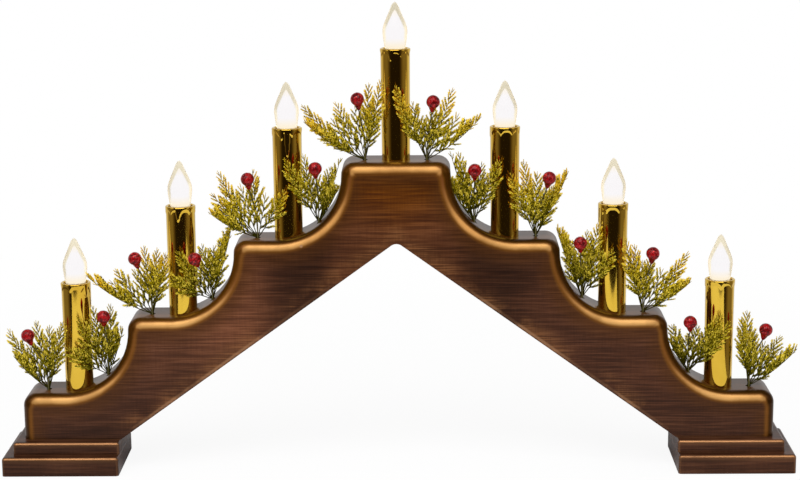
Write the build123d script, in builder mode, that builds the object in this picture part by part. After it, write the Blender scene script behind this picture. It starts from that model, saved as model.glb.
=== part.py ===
from build123d import *
import math
import os

os.makedirs("parts", exist_ok=True)

# A stepped candle arch: +X right, +Y away from the viewer, +Z up, on the table at z = 0.
# All lengths are in millimetres.

# Arch body
steps_per_side = 3
candle_pitch = 61.1
step_rise = 44.1
lowest_tread = 44.6
corner_radius = 7.0
cove_radius = 37.0
body_depth = 32.0
front_round = 5.6
back_round = 3.0
apex_round = 5.0
leg_seat = 55.2

# Two-tier feet
lower_tier = 10.8
upper_tier = 7.2
lower_overhang = 5.7
upper_overhang = 5.4
tier_round = 1.8
foot_screw_inset = 15.0
foot_screw_spread = 18.0
screw_radius = 2.0
screw_head_radius = 4.0
screw_head_height = 2.4
screw_sunk = 0.6
screw_bite = 16.0

# Candle sleeves
sleeve_length = 62.5
sleeve_base_radius = 7.9
sleeve_top_radius = 8.25
sleeve_wall = 1.5
sleeve_seat = 7.0
rim_radius = 8.75
rim_height = 2.2
drip_radius = 1.5
drip_proud = 0.40
drip_count = 6
drip_length_shares = (0.06, 0.22, 0.05, 0.10, 0.30, 0.07)
sleeve_turns = (20, 75, 130, 5, 100, 50, 160)

# Push-in flame lamps and their holders
holder_length = 22.5
holder_drop = 1.5
holder_floor = 6.0
plug_radius = 4.3
plug_length = 14.0
flange_radius = 5.6
spigot_radius = 4.3
spigot_length = 3.0
led_radius = 2.5
led_height = 8.0
flame_height = 25.7
flame_belly = 6.95
flame_wall = 0.8
flame_neck_share = 0.80
flame_belly_height_share = 0.41

# Wiring channel under the arch, with its cover strips and the harness
cover_thickness = 2.2
cover_width = 12.0
channel_width = 8.0
channel_depth = 6.0
groove_depth = 6.5
wire_hole_radius = 3.0
wire_radius = 1.1
wire_bend = 3.6
lead_hole_radius = 2.0

# Battery box let into the back of the middle block
box_width = 54.0
box_height = 31.0
box_depth = 13.4
box_rise = 4.0
box_wall = 1.4
cell_radius = 5.25
cell_length = 44.0
cell_tip_radius = 1.9
cell_tip_length = 0.9
cell_bay = 22.4
contact_thickness = 0.4
contact_width = 7.0
contact_height = 8.0
lid_thickness = 1.4
lid_rail = 1.0
lid_grip_radius = 0.5
lid_grip_count = 4
lid_grip_gap = 2.6
knob_length = 3.2
knob_height = 2.4
knob_proud = 1.8
knob_travel = 4.0
switch_length = 11.0
switch_height = 3.6
box_screw_radius = 1.1
box_screw_head_radius = 2.0
box_screw_head_height = 1.1
box_screw_bite = 3.4
box_screw_inset = 4.2

# Evergreen sprigs and berries
sprig_offset = 17.3
sprig_set_forward = 2.0
sprig_reach = 40.0
peg_radius = 1.5
peg_depth = 6.0
peg_rise = 2.4
sprig_gap = 0.5
spray_thickness = 1.1
spray_stem = 0.65
spray_tip = 0.3
branchlet_half_width = 1.15
branchlet_pairs = 4
branchlet_angle = 36
bare_stem_share = 0.30
branchlet_share = 0.36
branchlet_thin_share = 0.62
branchlet_belly_share = 0.45
berry_radius = 3.8
berry_neck = 4.6
berry_wire_radius = 0.45
berry_wire_step = 2.6
berry_wire_depth = 5.0
berry_wire_rise = 2.6
berry_wire_bend = 1.6

# Fits
clearance = 0.1
running_clearance = 0.3
overrun = 2.0

# Worked out from the sizes above
body_half = candle_pitch * steps_per_side + candle_pitch / 2
foot_top = lower_tier + upper_tier
leg_slope = step_rise / candle_pitch
leg_angle = math.degrees(math.atan(leg_slope))
leg_inner = body_half - leg_seat
apex_height = foot_top + leg_inner * leg_slope
top_tread = lowest_tread + steps_per_side * step_rise
candle_numbers = range(-steps_per_side, steps_per_side + 1)
back_face = body_depth / 2
MIN_Z = (Align.CENTER, Align.CENTER, Align.MIN)


def tread_height(number):
    return top_tread - abs(number) * step_rise


def candle_x(number):
    return number * candle_pitch


def surface_height(x):
    # Height of the arch's upper surface at x: flat tread, or the cove that rises to the next step.
    number = round(abs(x) / candle_pitch)
    height = tread_height(number)
    if number == 0:
        return height
    riser = candle_pitch * number - candle_pitch / 2
    run = riser + cove_radius - abs(x)
    if run <= 0:
        return height
    return height + cove_radius - math.sqrt(cove_radius**2 - run**2)


def upright(x, y, z):
    # Plane facing the viewer, with its origin at a place on the part.
    return Plane((x, y, z), x_dir=(1, 0, 0), z_dir=(0, -1, 0))


def under_height(x):
    return max(foot_top, apex_height - leg_slope * abs(x))


def band(near, far, inner, outer):
    # Corner points of a strip that follows the right leg's underside, between two depths from it.
    rise_near = near / math.cos(math.radians(leg_angle))
    rise_far = far / math.cos(math.radians(leg_angle))
    return (
        (inner, apex_height - leg_slope * inner + rise_near),
        (outer, apex_height - leg_slope * outer + rise_near),
        (outer, apex_height - leg_slope * outer + rise_far),
        (inner, apex_height - leg_slope * inner + rise_far),
    )


# Battery box limits, used by the pocket in the body as well
box_floor_z = apex_height + box_rise
box_top_z = box_floor_z + box_height
box_front_y = back_face - box_depth
box_divider_z = box_floor_z + box_wall + cell_bay
strip_mid_z = (box_divider_z + box_wall + box_top_z) / 2
box_screw_x = box_width / 2 - box_screw_inset
lead_z = box_floor_z + box_wall + cell_bay / 2
foot_screw_x = body_half - foot_screw_inset
seat_radius = sleeve_base_radius + clearance
sprig_y = -sprig_set_forward
berry_y = sprig_y - berry_wire_step

# Stepped outline of the arch, seen from the front
with BuildSketch(Plane.XZ) as outline:
    with BuildLine():
        corner = (0, top_tread)
        for step in range(steps_per_side + 1):
            riser_x = candle_pitch / 2 + step * candle_pitch
            height = tread_height(step)
            Line(corner, (riser_x - corner_radius, height))
            RadiusArc(
                (riser_x - corner_radius, height),
                (riser_x, height - corner_radius),
                corner_radius,
            )
            if step < steps_per_side:
                below = tread_height(step + 1)
                Line((riser_x, height - corner_radius), (riser_x, below + cove_radius))
                RadiusArc(
                    (riser_x, below + cove_radius),
                    (riser_x + cove_radius, below),
                    -cove_radius,
                )
                corner = (riser_x + cove_radius, below)
        Polyline(
            (body_half, lowest_tread - corner_radius),
            (body_half, foot_top),
            (leg_inner, foot_top),
            (0, apex_height),
            (0, top_tread),
        )
    make_face()
    mirror(about=Plane.YZ)

# The same outline a little larger: the sprigs are trimmed where they would press on the wood
with BuildPart() as wood_room:
    with BuildSketch(Plane.XZ):
        add(outline.sketch_local)
        offset(amount=sprig_gap)
    extrude(amount=body_depth / 2 + sprig_gap, both=True)

# Arch body: the outline through its depth, rounded over along its outer edges
with BuildPart() as arch_body:
    extrude(outline.sketch, amount=body_depth / 2, both=True)
    apex_edges = arch_body.edges().filter_by(Axis.Y)
    apex_edges = apex_edges.filter_by(lambda e: abs(e.center().X) < clearance).sort_by(Axis.Z)
    fillet(apex_edges[0], radius=apex_round)

    def on_outline(edge):
        middle = edge.center()
        return middle.Z > under_height(middle.X) + overrun

    front_edges = arch_body.faces().sort_by(Axis.Y)[0].edges().filter_by(on_outline)
    fillet(front_edges, radius=front_round)
    back_edges = arch_body.faces().sort_by(Axis.Y)[-1].edges().filter_by(on_outline)
    fillet(back_edges, radius=back_round)

    # Bored candle seats, with wire holes down to the channel
    for number in candle_numbers:
        seat_z = tread_height(number) - sleeve_seat
        channel_z = under_height(candle_x(number)) + channel_depth
        with Locations((candle_x(number), 0, seat_z)):
            Cylinder(seat_radius, sleeve_seat + cove_radius / 2, align=MIN_Z, mode=Mode.SUBTRACT)
        with Locations((candle_x(number), 0, channel_z)):
            Cylinder(wire_hole_radius, seat_z - channel_z, align=MIN_Z, mode=Mode.SUBTRACT)
        # Pegs of the sprigs and wires of the berries
        for side in (-1, 1):
            peg_x = candle_x(number) + side * sprig_offset
            surface = surface_height(peg_x)
            with Locations((peg_x, sprig_y, surface - peg_depth)):
                Cylinder(
                    peg_radius + clearance, peg_depth + overrun * 2, align=MIN_Z, mode=Mode.SUBTRACT
                )
            with Locations((peg_x, berry_y, surface - berry_wire_depth)):
                Cylinder(
                    berry_wire_radius + clearance,
                    berry_wire_depth + overrun,
                    align=MIN_Z,
                    mode=Mode.SUBTRACT,
                )

    # Wiring channel along both undersides, and the rebate for the cover strips
    with BuildSketch(Plane.XZ):
        Polygon(
            *band(cover_thickness, cover_thickness + channel_depth, 0, body_half - leg_seat / 4),
            align=None,
        )
        with Locations(((leg_inner + candle_x(steps_per_side)) / 2, foot_top)):
            Rectangle(
                candle_x(steps_per_side) - leg_inner + wire_hole_radius * 2, groove_depth * 2
            )
        mirror(about=Plane.YZ)
    extrude(amount=channel_width / 2, both=True, mode=Mode.SUBTRACT)
    with BuildSketch(Plane.XZ):
        Polygon(*band(-overrun, cover_thickness, apex_round, leg_inner + overrun), align=None)
        mirror(about=Plane.YZ)
    extrude(amount=cover_width / 2, both=True, mode=Mode.SUBTRACT)

    # Pocket for the battery box, its lead hole and its screw holes
    with BuildSketch(Plane.XZ.offset(-back_face)):
        with Locations((0, (box_floor_z + box_top_z) / 2)):
            Rectangle(box_width + clearance * 2, box_height + clearance * 2)
    extrude(amount=box_depth + clearance, mode=Mode.SUBTRACT)
    with BuildSketch(Plane.XZ):
        with Locations((0, lead_z)):
            Circle(lead_hole_radius)
    extrude(amount=-back_face + clearance, mode=Mode.SUBTRACT)
    with BuildSketch(Plane.XZ.offset(-box_front_y - clearance)):
        with Locations((-box_screw_x, strip_mid_z), (box_screw_x, strip_mid_z)):
            Circle(box_screw_radius + clearance)
    extrude(amount=box_screw_bite + clearance, mode=Mode.SUBTRACT)

    # Pilot holes for the foot screws
    with Locations((-foot_screw_x, 0, foot_top), (foot_screw_x, 0, foot_top)):
        with GridLocations(0, foot_screw_spread, 1, 2):
            Cylinder(
                screw_radius + clearance, screw_bite + clearance, align=MIN_Z, mode=Mode.SUBTRACT
            )
arch_body.part.label = "arch_body"
export_step(arch_body.part, "parts/arch_body.step")

# Feet: two plates on each side, flush at the inner end, stepped out on the other three sides
tiers = (
    ("lower", 0, lower_tier, upper_overhang + lower_overhang),
    ("upper", lower_tier, upper_tier, upper_overhang),
)
for side, side_name in ((-1, "left"), (1, "right")):
    for tier_name, floor, thickness, overhang in tiers:
        with BuildPart() as tier:
            length = leg_seat + overhang
            with BuildSketch(Plane.XY.offset(floor)):
                with Locations((side * (leg_inner + length / 2), 0)):
                    Rectangle(length, body_depth + overhang * 2)
            extrude(amount=thickness)
            fillet(tier.edges().filter_by(Axis.Z), radius=tier_round)
            fillet(tier.faces().sort_by(Axis.Z)[-1].edges(), radius=tier_round)
            with Locations((side * foot_screw_x, 0, floor - overrun)):
                with GridLocations(0, foot_screw_spread, 1, 2):
                    Cylinder(
                        screw_radius + clearance,
                        thickness + overrun * 2,
                        align=MIN_Z,
                        mode=Mode.SUBTRACT,
                    )
            if tier_name == "lower":
                with Locations((side * foot_screw_x, 0, 0)):
                    with GridLocations(0, foot_screw_spread, 1, 2):
                        Cylinder(
                            screw_head_radius + clearance,
                            screw_sunk,
                            align=MIN_Z,
                            mode=Mode.SUBTRACT,
                        )
                with Locations((side * foot_screw_x, 0, screw_sunk)):
                    with GridLocations(0, foot_screw_spread, 1, 2):
                        Cone(
                            screw_head_radius + clearance,
                            screw_radius + clearance,
                            screw_head_height,
                            align=MIN_Z,
                            mode=Mode.SUBTRACT,
                        )
        tier.part.label = f"{side_name}_foot_{tier_name}"
        export_step(tier.part, f"parts/{side_name}_foot_{tier_name}.step")

# Countersunk screws up through both plates into the body
with BuildPart() as foot_screws:
    tip_z = foot_top + screw_bite
    for screw_x in (-foot_screw_x, foot_screw_x):
        for screw_y in (-foot_screw_spread / 2, foot_screw_spread / 2):
            with BuildSketch(upright(screw_x, screw_y, 0)):
                with BuildLine():
                    Polyline(
                        (0, screw_sunk),
                        (screw_head_radius, screw_sunk),
                        (screw_radius, screw_sunk + screw_head_height),
                        (screw_radius, tip_z - screw_radius * 2),
                        (0, tip_z),
                        (0, screw_sunk),
                    )
                make_face()
            revolve(axis=Axis((screw_x, screw_y, 0), (0, 0, 1)))
foot_screws.part.label = "foot_screws"
export_step(foot_screws.part, "parts/foot_screws.step")

# Candle sleeves with a moulded wax lip and drips, their lamp holders, lamps and flames
for place, number in enumerate(candle_numbers):
    name = place + 1
    x = candle_x(number)
    tread = tread_height(number)
    base_z = tread - sleeve_seat
    top_z = tread + sleeve_length
    bore = sleeve_top_radius - sleeve_wall - clearance
    ledge_z = top_z - holder_drop - holder_length

    with BuildPart() as sleeve:
        with BuildSketch(upright(x, 0, 0)):
            with BuildLine():
                Polyline(
                    (sleeve_base_radius - sleeve_wall * 2, base_z),
                    (sleeve_base_radius, base_z),
                    (sleeve_base_radius, tread),
                    (sleeve_top_radius, top_z - rim_height * 2),
                    (rim_radius, top_z - rim_height),
                    (rim_radius, top_z),
                    (bore, top_z),
                    (bore, ledge_z),
                    (sleeve_base_radius - sleeve_wall * 2, ledge_z),
                    (sleeve_base_radius - sleeve_wall * 2, base_z),
                )
            make_face()
        revolve(axis=Axis((x, 0, 0), (0, 0, 1)))
        lip = sleeve.edges().filter_by(GeomType.CIRCLE)
        lip = lip.filter_by(lambda e: e.radius > sleeve_top_radius + clearance)
        fillet(lip, radius=rim_height / 3)
        for drip in range(drip_count):
            turn = sleeve_turns[place] + 360 / drip_count * drip
            reach = sleeve_length * drip_length_shares[drip]
            around = sleeve_top_radius + drip_proud - drip_radius
            drip_x = x + around * math.cos(math.radians(turn))
            drip_y = around * math.sin(math.radians(turn))
            with Locations((drip_x, drip_y, top_z - rim_height - reach)):
                Cylinder(drip_radius, reach, align=MIN_Z)
                Sphere(drip_radius)
        with Locations((x, 0, ledge_z)):
            Cylinder(bore, holder_length + holder_drop, align=MIN_Z, mode=Mode.SUBTRACT)
    sleeve.part.label = f"candle_sleeve_{name}"
    export_step(sleeve.part, f"parts/candle_sleeve_{name}.step")

    holder_top = ledge_z + holder_length
    with BuildPart() as holder:
        with Locations((x, 0, ledge_z)):
            Cylinder(bore - clearance, holder_length, align=MIN_Z)
        with Locations((x, 0, ledge_z + holder_floor)):
            Cylinder(
                plug_radius + running_clearance,
                holder_length - holder_floor,
                align=MIN_Z,
                mode=Mode.SUBTRACT,
            )
        with Locations((x, 0, ledge_z)):
            Cylinder(
                wire_radius + clearance, holder_floor / 2, align=MIN_Z, mode=Mode.SUBTRACT
            )
    holder.part.label = f"lamp_holder_{name}"
    export_step(holder.part, f"parts/lamp_holder_{name}.step")

    # Push-in lamp: plug and flange, a spigot for the flame, and the light emitter on top
    with BuildPart() as lamp:
        with Locations((x, 0, holder_top - plug_length)):
            Cylinder(plug_radius, plug_length, align=MIN_Z)
        chamfer(lamp.faces().sort_by(Axis.Z)[0].edges(), length=plug_radius / 5)
        with Locations((x, 0, holder_top)):
            Cylinder(flange_radius, holder_drop, align=MIN_Z)
        with Locations((x, 0, top_z)):
            Cylinder(spigot_radius, spigot_length, align=MIN_Z)
        with BuildSketch(upright(x, 0, top_z + spigot_length)):
            with BuildLine():
                shoulder = led_height - led_radius
                Line((0, 0), (led_radius, 0))
                Line((led_radius, 0), (led_radius, shoulder))
                RadiusArc((led_radius, shoulder), (0, led_height), -led_radius)
                Line((0, led_height), (0, 0))
            make_face()
        revolve(axis=Axis((x, 0, 0), (0, 0, 1)))
    lamp.part.label = f"lamp_base_{name}"
    export_step(lamp.part, f"parts/lamp_base_{name}.step")

    # Flame-shaped shell, hollow from below
    with BuildPart() as flame:
        with BuildSketch(upright(x, 0, top_z)):
            neck = flame_belly * flame_neck_share
            belly_z = flame_height * flame_belly_height_share
            hollow = flame_height - flame_wall * 5
            with BuildLine():
                Spline(
                    (neck, 0),
                    (flame_belly, belly_z),
                    (0, flame_height),
                    tangents=((flame_belly - neck, belly_z / 2), (0, 1), (-1, 2)),
                )
                Line((0, flame_height), (0, hollow))
                Spline(
                    (0, hollow),
                    (flame_belly - flame_wall, belly_z),
                    (neck - flame_wall, 0),
                    tangents=((1, -2), (0, -1), (neck - flame_belly, -belly_z / 2)),
                )
                Line((neck - flame_wall, 0), (neck, 0))
            make_face()
        revolve(axis=Axis((x, 0, 0), (0, 0, 1)))
    flame.part.label = f"flame_{name}"
    export_step(flame.part, f"parts/flame_{name}.step")

# Cover strips that close the wiring channel, flush with the undersides
for side, side_name in ((-1, "left"), (1, "right")):
    with BuildPart() as cover:
        with BuildSketch(Plane.XZ):
            Polygon(
                *band(0, cover_thickness - clearance, apex_round + overrun, leg_inner), align=None
            )
            with Locations((leg_inner, foot_top + clearance)):
                Rectangle(
                    leg_seat,
                    leg_seat,
                    align=(Align.CENTER, Align.MAX),
                    mode=Mode.SUBTRACT,
                )
            if side < 0:
                mirror(about=Plane.YZ, mode=Mode.REPLACE)
        extrude(amount=cover_width / 2 - clearance, both=True)
    cover.part.label = f"channel_cover_{side_name}"
    export_step(cover.part, f"parts/channel_cover_{side_name}.step")

# Wiring harness: one run under the whole arch, with a riser to each lamp holder
wire_depth = cover_thickness + channel_depth / 2
wire_rise = wire_depth / math.cos(math.radians(leg_angle))
holder_foot = sleeve_length - holder_drop - holder_length
groove_z = foot_top + groove_depth / 2
end_x = candle_x(steps_per_side)
knee_x = (apex_height + wire_rise - groove_z) / leg_slope
with BuildPart() as wiring_harness:
    with BuildLine():
        FilletPolyline(
            (-end_x, 0, lowest_tread + holder_foot),
            (-end_x, 0, groove_z),
            (-knee_x, 0, groove_z),
            (0, 0, apex_height + wire_rise),
            (knee_x, 0, groove_z),
            (end_x, 0, groove_z),
            (end_x, 0, lowest_tread + holder_foot),
            radius=(wire_bend / 2, wire_bend, wire_bend, wire_bend, wire_bend / 2),
        )
    with BuildSketch(Plane.XY.move(Location((-end_x, 0, lowest_tread + holder_foot)))):
        Circle(wire_radius)
    sweep()
    for number in candle_numbers:
        if abs(number) < steps_per_side:
            x = candle_x(number)
            run_z = apex_height - leg_slope * abs(x) + wire_rise
            with Locations((x, 0, run_z)):
                Cylinder(wire_radius, tread_height(number) + holder_foot - run_z, align=MIN_Z)
    with BuildSketch(Plane.XZ):
        with Locations((0, lead_z)):
            Circle(wire_radius)
    extrude(amount=-box_front_y)
wiring_harness.part.label = "wiring_harness"
export_step(wiring_harness.part, "parts/wiring_harness.step")

# Battery box: a cell bay closed by a sliding lid, and a strip above it for the switch and screws
bay_mid_z = box_floor_z + box_wall + cell_bay / 2
slot_length = knob_length + knob_travel + clearance * 4
slot_height = knob_height + clearance * 4
lid_inner_y = back_face + running_clearance
lid_outer_y = lid_inner_y + lid_thickness
lip_y = lid_outer_y + running_clearance
with BuildPart() as battery_box:
    with BuildSketch(Plane.XZ.offset(-back_face)):
        with Locations((0, (box_floor_z + box_top_z) / 2)):
            Rectangle(box_width, box_height)
    extrude(amount=box_depth)
    with BuildSketch(Plane.XZ.offset(-back_face)):
        with Locations((0, bay_mid_z)):
            Rectangle(box_width - box_wall * 2, cell_bay)
    extrude(amount=box_depth - box_wall, mode=Mode.SUBTRACT)
    # Recess behind the strip for the switch, and its slot
    with BuildSketch(Plane.XZ.offset(-box_front_y)):
        with Locations((0, strip_mid_z)):
            Rectangle(switch_length + clearance * 2, switch_height + clearance * 2)
    extrude(amount=-box_depth + box_wall, mode=Mode.SUBTRACT)
    with BuildSketch(Plane.XZ.offset(-back_face)):
        with Locations((0, strip_mid_z)):
            Rectangle(slot_length, slot_height)
    extrude(amount=box_wall * 2, mode=Mode.SUBTRACT)
    with BuildSketch(Plane.XZ.offset(-back_face)):
        with Locations((-box_screw_x, strip_mid_z), (box_screw_x, strip_mid_z)):
            Circle(box_screw_radius + clearance)
    extrude(amount=box_depth, mode=Mode.SUBTRACT)
    # Rails above and below the bay, lipped over the lid's edges, and a stop at the left end
    for rail_z, inward in ((box_floor_z, 1), (box_divider_z + box_wall, -1)):
        with BuildSketch(Plane.YZ.offset(-box_width / 2)):
            with BuildLine():
                Polyline(
                    (back_face, rail_z),
                    (lip_y + lid_rail, rail_z),
                    (lip_y + lid_rail, rail_z + inward * (box_wall + lid_rail)),
                    (lip_y, rail_z + inward * (box_wall + lid_rail)),
                    (lip_y, rail_z + inward * box_wall),
                    (back_face, rail_z + inward * box_wall),
                    (back_face, rail_z),
                )
            make_face()
        extrude(amount=box_width)
    with BuildSketch(Plane.XZ.offset(-back_face)):
        with Locations((-box_width / 2 + box_wall / 2, bay_mid_z)):
            Rectangle(box_wall, cell_bay + box_wall * 2)
    extrude(amount=back_face - lip_y - lid_rail)
battery_box.part.label = "battery_box"
export_step(battery_box.part, "parts/battery_box.step")

# Lid: slides out to the right along the rails, with grip ribs near its open end
lid_left = -box_width / 2 + box_wall + running_clearance
lid_right = box_width / 2
with BuildPart() as battery_lid:
    with BuildSketch(Plane.XZ.offset(-lid_inner_y)):
        with Locations(((lid_left + lid_right) / 2, bay_mid_z)):
            Rectangle(lid_right - lid_left, cell_bay - running_clearance * 2)
    extrude(amount=-lid_thickness)
    grip_x = lid_right - lid_grip_gap * (lid_grip_count + 1) / 2 - lid_grip_gap
    with BuildSketch(Plane.XY.offset(bay_mid_z)):
        with Locations((grip_x, lid_outer_y)):
            with GridLocations(lid_grip_gap, 0, lid_grip_count, 1):
                Circle(lid_grip_radius)
    extrude(amount=cell_bay / 4, both=True)
battery_lid.part.label = "battery_lid"
export_step(battery_lid.part, "parts/battery_lid.step")

# Two small round cells side by side, end for end
cell_y = box_front_y + box_wall + cell_radius + clearance
cell_step = cell_radius + clearance
with BuildPart() as battery_cells:
    for way in (-1, 1):
        cell_z = bay_mid_z + way * cell_step
        with BuildSketch(Plane.YZ.offset(-cell_length / 2)):
            with Locations((cell_y, cell_z)):
                Circle(cell_radius)
        extrude(amount=cell_length)
        with BuildSketch(Plane.YZ.offset(way * cell_length / 2)):
            with Locations((cell_y, cell_z)):
                Circle(cell_tip_radius)
        extrude(amount=way * cell_tip_length)
battery_cells.part.label = "battery_cells"
export_step(battery_cells.part, "parts/battery_cells.step")

# Bowed contact strips at the ends of the bay
end_wall = box_width / 2 - box_wall
with BuildPart() as battery_contacts:
    for end in (-1, 1):
        for way in (-1, 1):
            room = end_wall - cell_length / 2
            if way == end:
                room = room - cell_tip_length
            bow = room - clearance * 2 - contact_thickness
            with BuildSketch(Plane.XY.offset(bay_mid_z + way * cell_step)):
                with BuildLine():
                    ThreePointArc(
                        (end * (end_wall - clearance), cell_y - contact_width / 2),
                        (end * (end_wall - clearance - bow), cell_y),
                        (end * (end_wall - clearance), cell_y + contact_width / 2),
                    )
                    offset(amount=contact_thickness / 2)
                make_face()
                with Locations((end * (end_wall + contact_thickness), cell_y)):
                    Rectangle(
                        contact_thickness * 2,
                        contact_width + contact_height,
                        mode=Mode.SUBTRACT,
                    )
            extrude(amount=contact_height / 4, both=True)
battery_contacts.part.label = "battery_contacts"
export_step(battery_contacts.part, "parts/battery_contacts.step")

# Slide switch: its case in the recess, and the knob that comes out through the slot
knob_root_y = back_face - box_wall - clearance
with BuildPart() as switch_case:
    with BuildSketch(Plane.XZ.offset(-box_front_y)):
        with Locations((0, strip_mid_z)):
            Rectangle(switch_length, switch_height)
    extrude(amount=-(knob_root_y - box_front_y) + knob_height / 2)
switch_case.part.label = "switch_case"
export_step(switch_case.part, "parts/switch_case.step")
with BuildPart() as switch_knob:
    with BuildSketch(Plane.XZ.offset(-(knob_root_y - knob_height / 2 + running_clearance))):
        with Locations((0, strip_mid_z)):
            Rectangle(knob_length, knob_height)
    extrude(amount=-(box_wall + knob_height / 2 + knob_proud))
    fillet(switch_knob.faces().sort_by(Axis.Y)[-1].edges(), radius=knob_height / 6)
switch_knob.part.label = "switch_knob"
export_step(switch_knob.part, "parts/switch_knob.step")

# Two pan-head screws hold the box in its pocket
with BuildPart() as box_screws:
    with BuildSketch(Plane.XZ.offset(-back_face)):
        with Locations((-box_screw_x, strip_mid_z), (box_screw_x, strip_mid_z)):
            Circle(box_screw_radius)
    extrude(amount=box_depth + box_screw_bite)
    with BuildSketch(Plane.XZ.offset(-back_face)):
        with Locations((-box_screw_x, strip_mid_z), (box_screw_x, strip_mid_z)):
            Circle(box_screw_head_radius)
    extrude(amount=-box_screw_head_height)
box_screws.part.label = "box_screws"
export_step(box_screws.part, "parts/box_screws.step")

# Each spray of a sprig ends at shares of the sprig's reach: across, up and forward
spray_tip_shares = {
    (1, "left"): (
        (-0.54, 0.88, 0.05), (-0.47, 0.52, 0.12), (-0.16, 0.98, -0.05),
        (0.06, 0.94, 0.10), (0.28, 1.04, 0.24),
    ),
    (1, "right"): (
        (-0.18, 1.02, 0.12), (0.06, 1.00, -0.03), (0.24, 0.68, 0.06),
        (-0.36, 0.90, 0.28), (-0.50, 0.46, 0.36),
    ),
    (2, "left"): (
        (-0.90, 0.60, 0.18), (-0.50, 0.64, 0.02), (-0.10, 0.96, -0.03),
        (0.10, 0.95, 0.10), (0.24, 0.92, 0.22),
    ),
    (2, "right"): (
        (0.28, 1.00, -0.02), (0.03, 0.76, 0.06), (-0.12, 0.80, 0.14),
        (-0.45, 0.74, 0.30), (-0.55, 0.38, 0.38),
    ),
    (3, "left"): (
        (-0.54, 0.94, 0.02), (-0.62, 0.64, 0.10), (-0.68, 0.40, 0.16),
        (-0.06, 0.95, -0.02), (0.40, 0.72, 0.32),
    ),
    (3, "right"): (
        (-0.44, 0.94, 0.30), (-0.20, 0.98, 0.16), (0.18, 0.78, 0.06),
        (0.31, 0.88, -0.04), (0.28, 0.50, 0.14),
    ),
    (4, "left"): (
        (-0.86, 0.80, 0.20), (-0.84, 0.58, 0.26), (-0.40, 0.80, 0.02),
        (0.06, 1.05, -0.04), (0.24, 1.14, 0.22),
    ),
    (4, "right"): (
        (-0.43, 1.06, 0.30), (-0.20, 0.82, 0.14), (0.36, 0.98, -0.03),
        (0.10, 0.72, 0.08), (0.76, 0.62, 0.16),
    ),
    (5, "left"): (
        (-0.33, 0.97, -0.03), (-0.22, 0.98, 0.06), (-0.36, 0.58, 0.14),
        (0.10, 0.84, 0.14), (0.34, 0.90, 0.30),
    ),
    (5, "right"): (
        (-0.18, 1.10, 0.16), (-0.36, 0.92, 0.28), (0.02, 0.90, 0.02),
        (0.26, 0.72, 0.10), (0.46, 0.92, -0.02),
    ),
    (6, "left"): (
        (-0.37, 1.00, -0.03), (-0.20, 0.74, 0.10), (0.06, 0.95, 0.05),
        (0.22, 1.09, 0.18), (0.40, 0.74, 0.32),
    ),
    (6, "right"): (
        (-0.14, 0.97, 0.12), (-0.28, 1.09, 0.24), (0.10, 0.76, 0.06),
        (0.62, 0.84, -0.02), (0.66, 0.46, 0.14),
    ),
    (7, "left"): (
        (-0.24, 0.66, -0.02), (-0.28, 0.46, 0.10), (0.10, 0.68, 0.08),
        (0.40, 0.90, 0.30), (0.52, 0.80, 0.36),
    ),
    (7, "right"): (
        (-0.14, 1.02, 0.12), (-0.04, 1.08, -0.03), (0.06, 0.80, 0.06),
        (0.42, 0.72, 0.02), (0.52, 0.54, 0.14),
    ),
}
berry_place_shares = {
    (1, "left"): (-0.22, 0.86, 0.22), (1, "right"): (0.02, 0.94, 0.34),
    (2, "left"): (-0.19, 0.86, 0.20), (2, "right"): (-0.19, 0.68, 0.42),
    (3, "left"): (-0.11, 0.88, 0.20), (3, "right"): (-0.02, 0.83, 0.34),
    (4, "left"): (-0.09, 0.89, 0.20), (4, "right"): (0.09, 0.86, 0.30),
    (5, "left"): (0.00, 0.79, 0.32), (5, "right"): (0.17, 0.88, 0.26),
    (6, "left"): (-0.06, 0.86, 0.34), (6, "right"): (0.10, 0.90, 0.24),
    (7, "left"): (-0.03, 0.81, 0.30), (7, "right"): (0.18, 0.89, 0.22),
}

# Sprigs: flat moulded evergreen sprays that fan out from one peg
viewer = Vector(0, -1, 0)
for place, number in enumerate(candle_numbers):
    for side, side_name in ((-1, "left"), (1, "right")):
        peg_x = candle_x(number) + side * sprig_offset
        root_z = surface_height(peg_x)
        with BuildPart() as sprig:
            for across, up, forward in spray_tip_shares[(place + 1, side_name)]:
                tip = Vector(across, -forward, up) * sprig_reach
                reach = tip.length
                along = tip.normalized()
                facing = (viewer - along * viewer.dot(along)).normalized()
                with BuildSketch(Plane((peg_x, sprig_y, root_z), x_dir=along, z_dir=facing)):
                    Polygon(
                        (0, -spray_stem), (reach, -spray_tip), (reach, spray_tip), (0, spray_stem),
                        align=None,
                    )
                    for pair in range(branchlet_pairs):
                        spread_share = pair / branchlet_pairs
                        root = reach * (bare_stem_share + (1 - bare_stem_share) * spread_share)
                        long = reach * branchlet_share * (1 - branchlet_thin_share * spread_share)
                        belly = long * branchlet_belly_share
                        for turn in (-branchlet_angle, branchlet_angle):
                            with Locations((root, 0)):
                                Polygon(
                                    (-spray_stem, 0), (belly, -branchlet_half_width),
                                    (long, 0), (belly, branchlet_half_width),
                                    rotation=turn,
                                    align=None,
                                )
                extrude(amount=spray_thickness / 2, both=True)
            add(wood_room.part, mode=Mode.SUBTRACT)
            with Locations((candle_x(number), 0, tread_height(number))):
                Cylinder(
                    rim_radius + sprig_gap, sleeve_length, align=MIN_Z, mode=Mode.SUBTRACT
                )
            with Locations((peg_x, sprig_y, root_z - peg_depth)):
                Cylinder(peg_radius, peg_depth + peg_rise, align=MIN_Z)
        whole = sprig.solids().sort_by(SortBy.VOLUME)[-1]
        whole.label = f"sprig_{place + 1}_{side_name}"
        export_step(whole, f"parts/sprig_{place + 1}_{side_name}.step")

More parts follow.
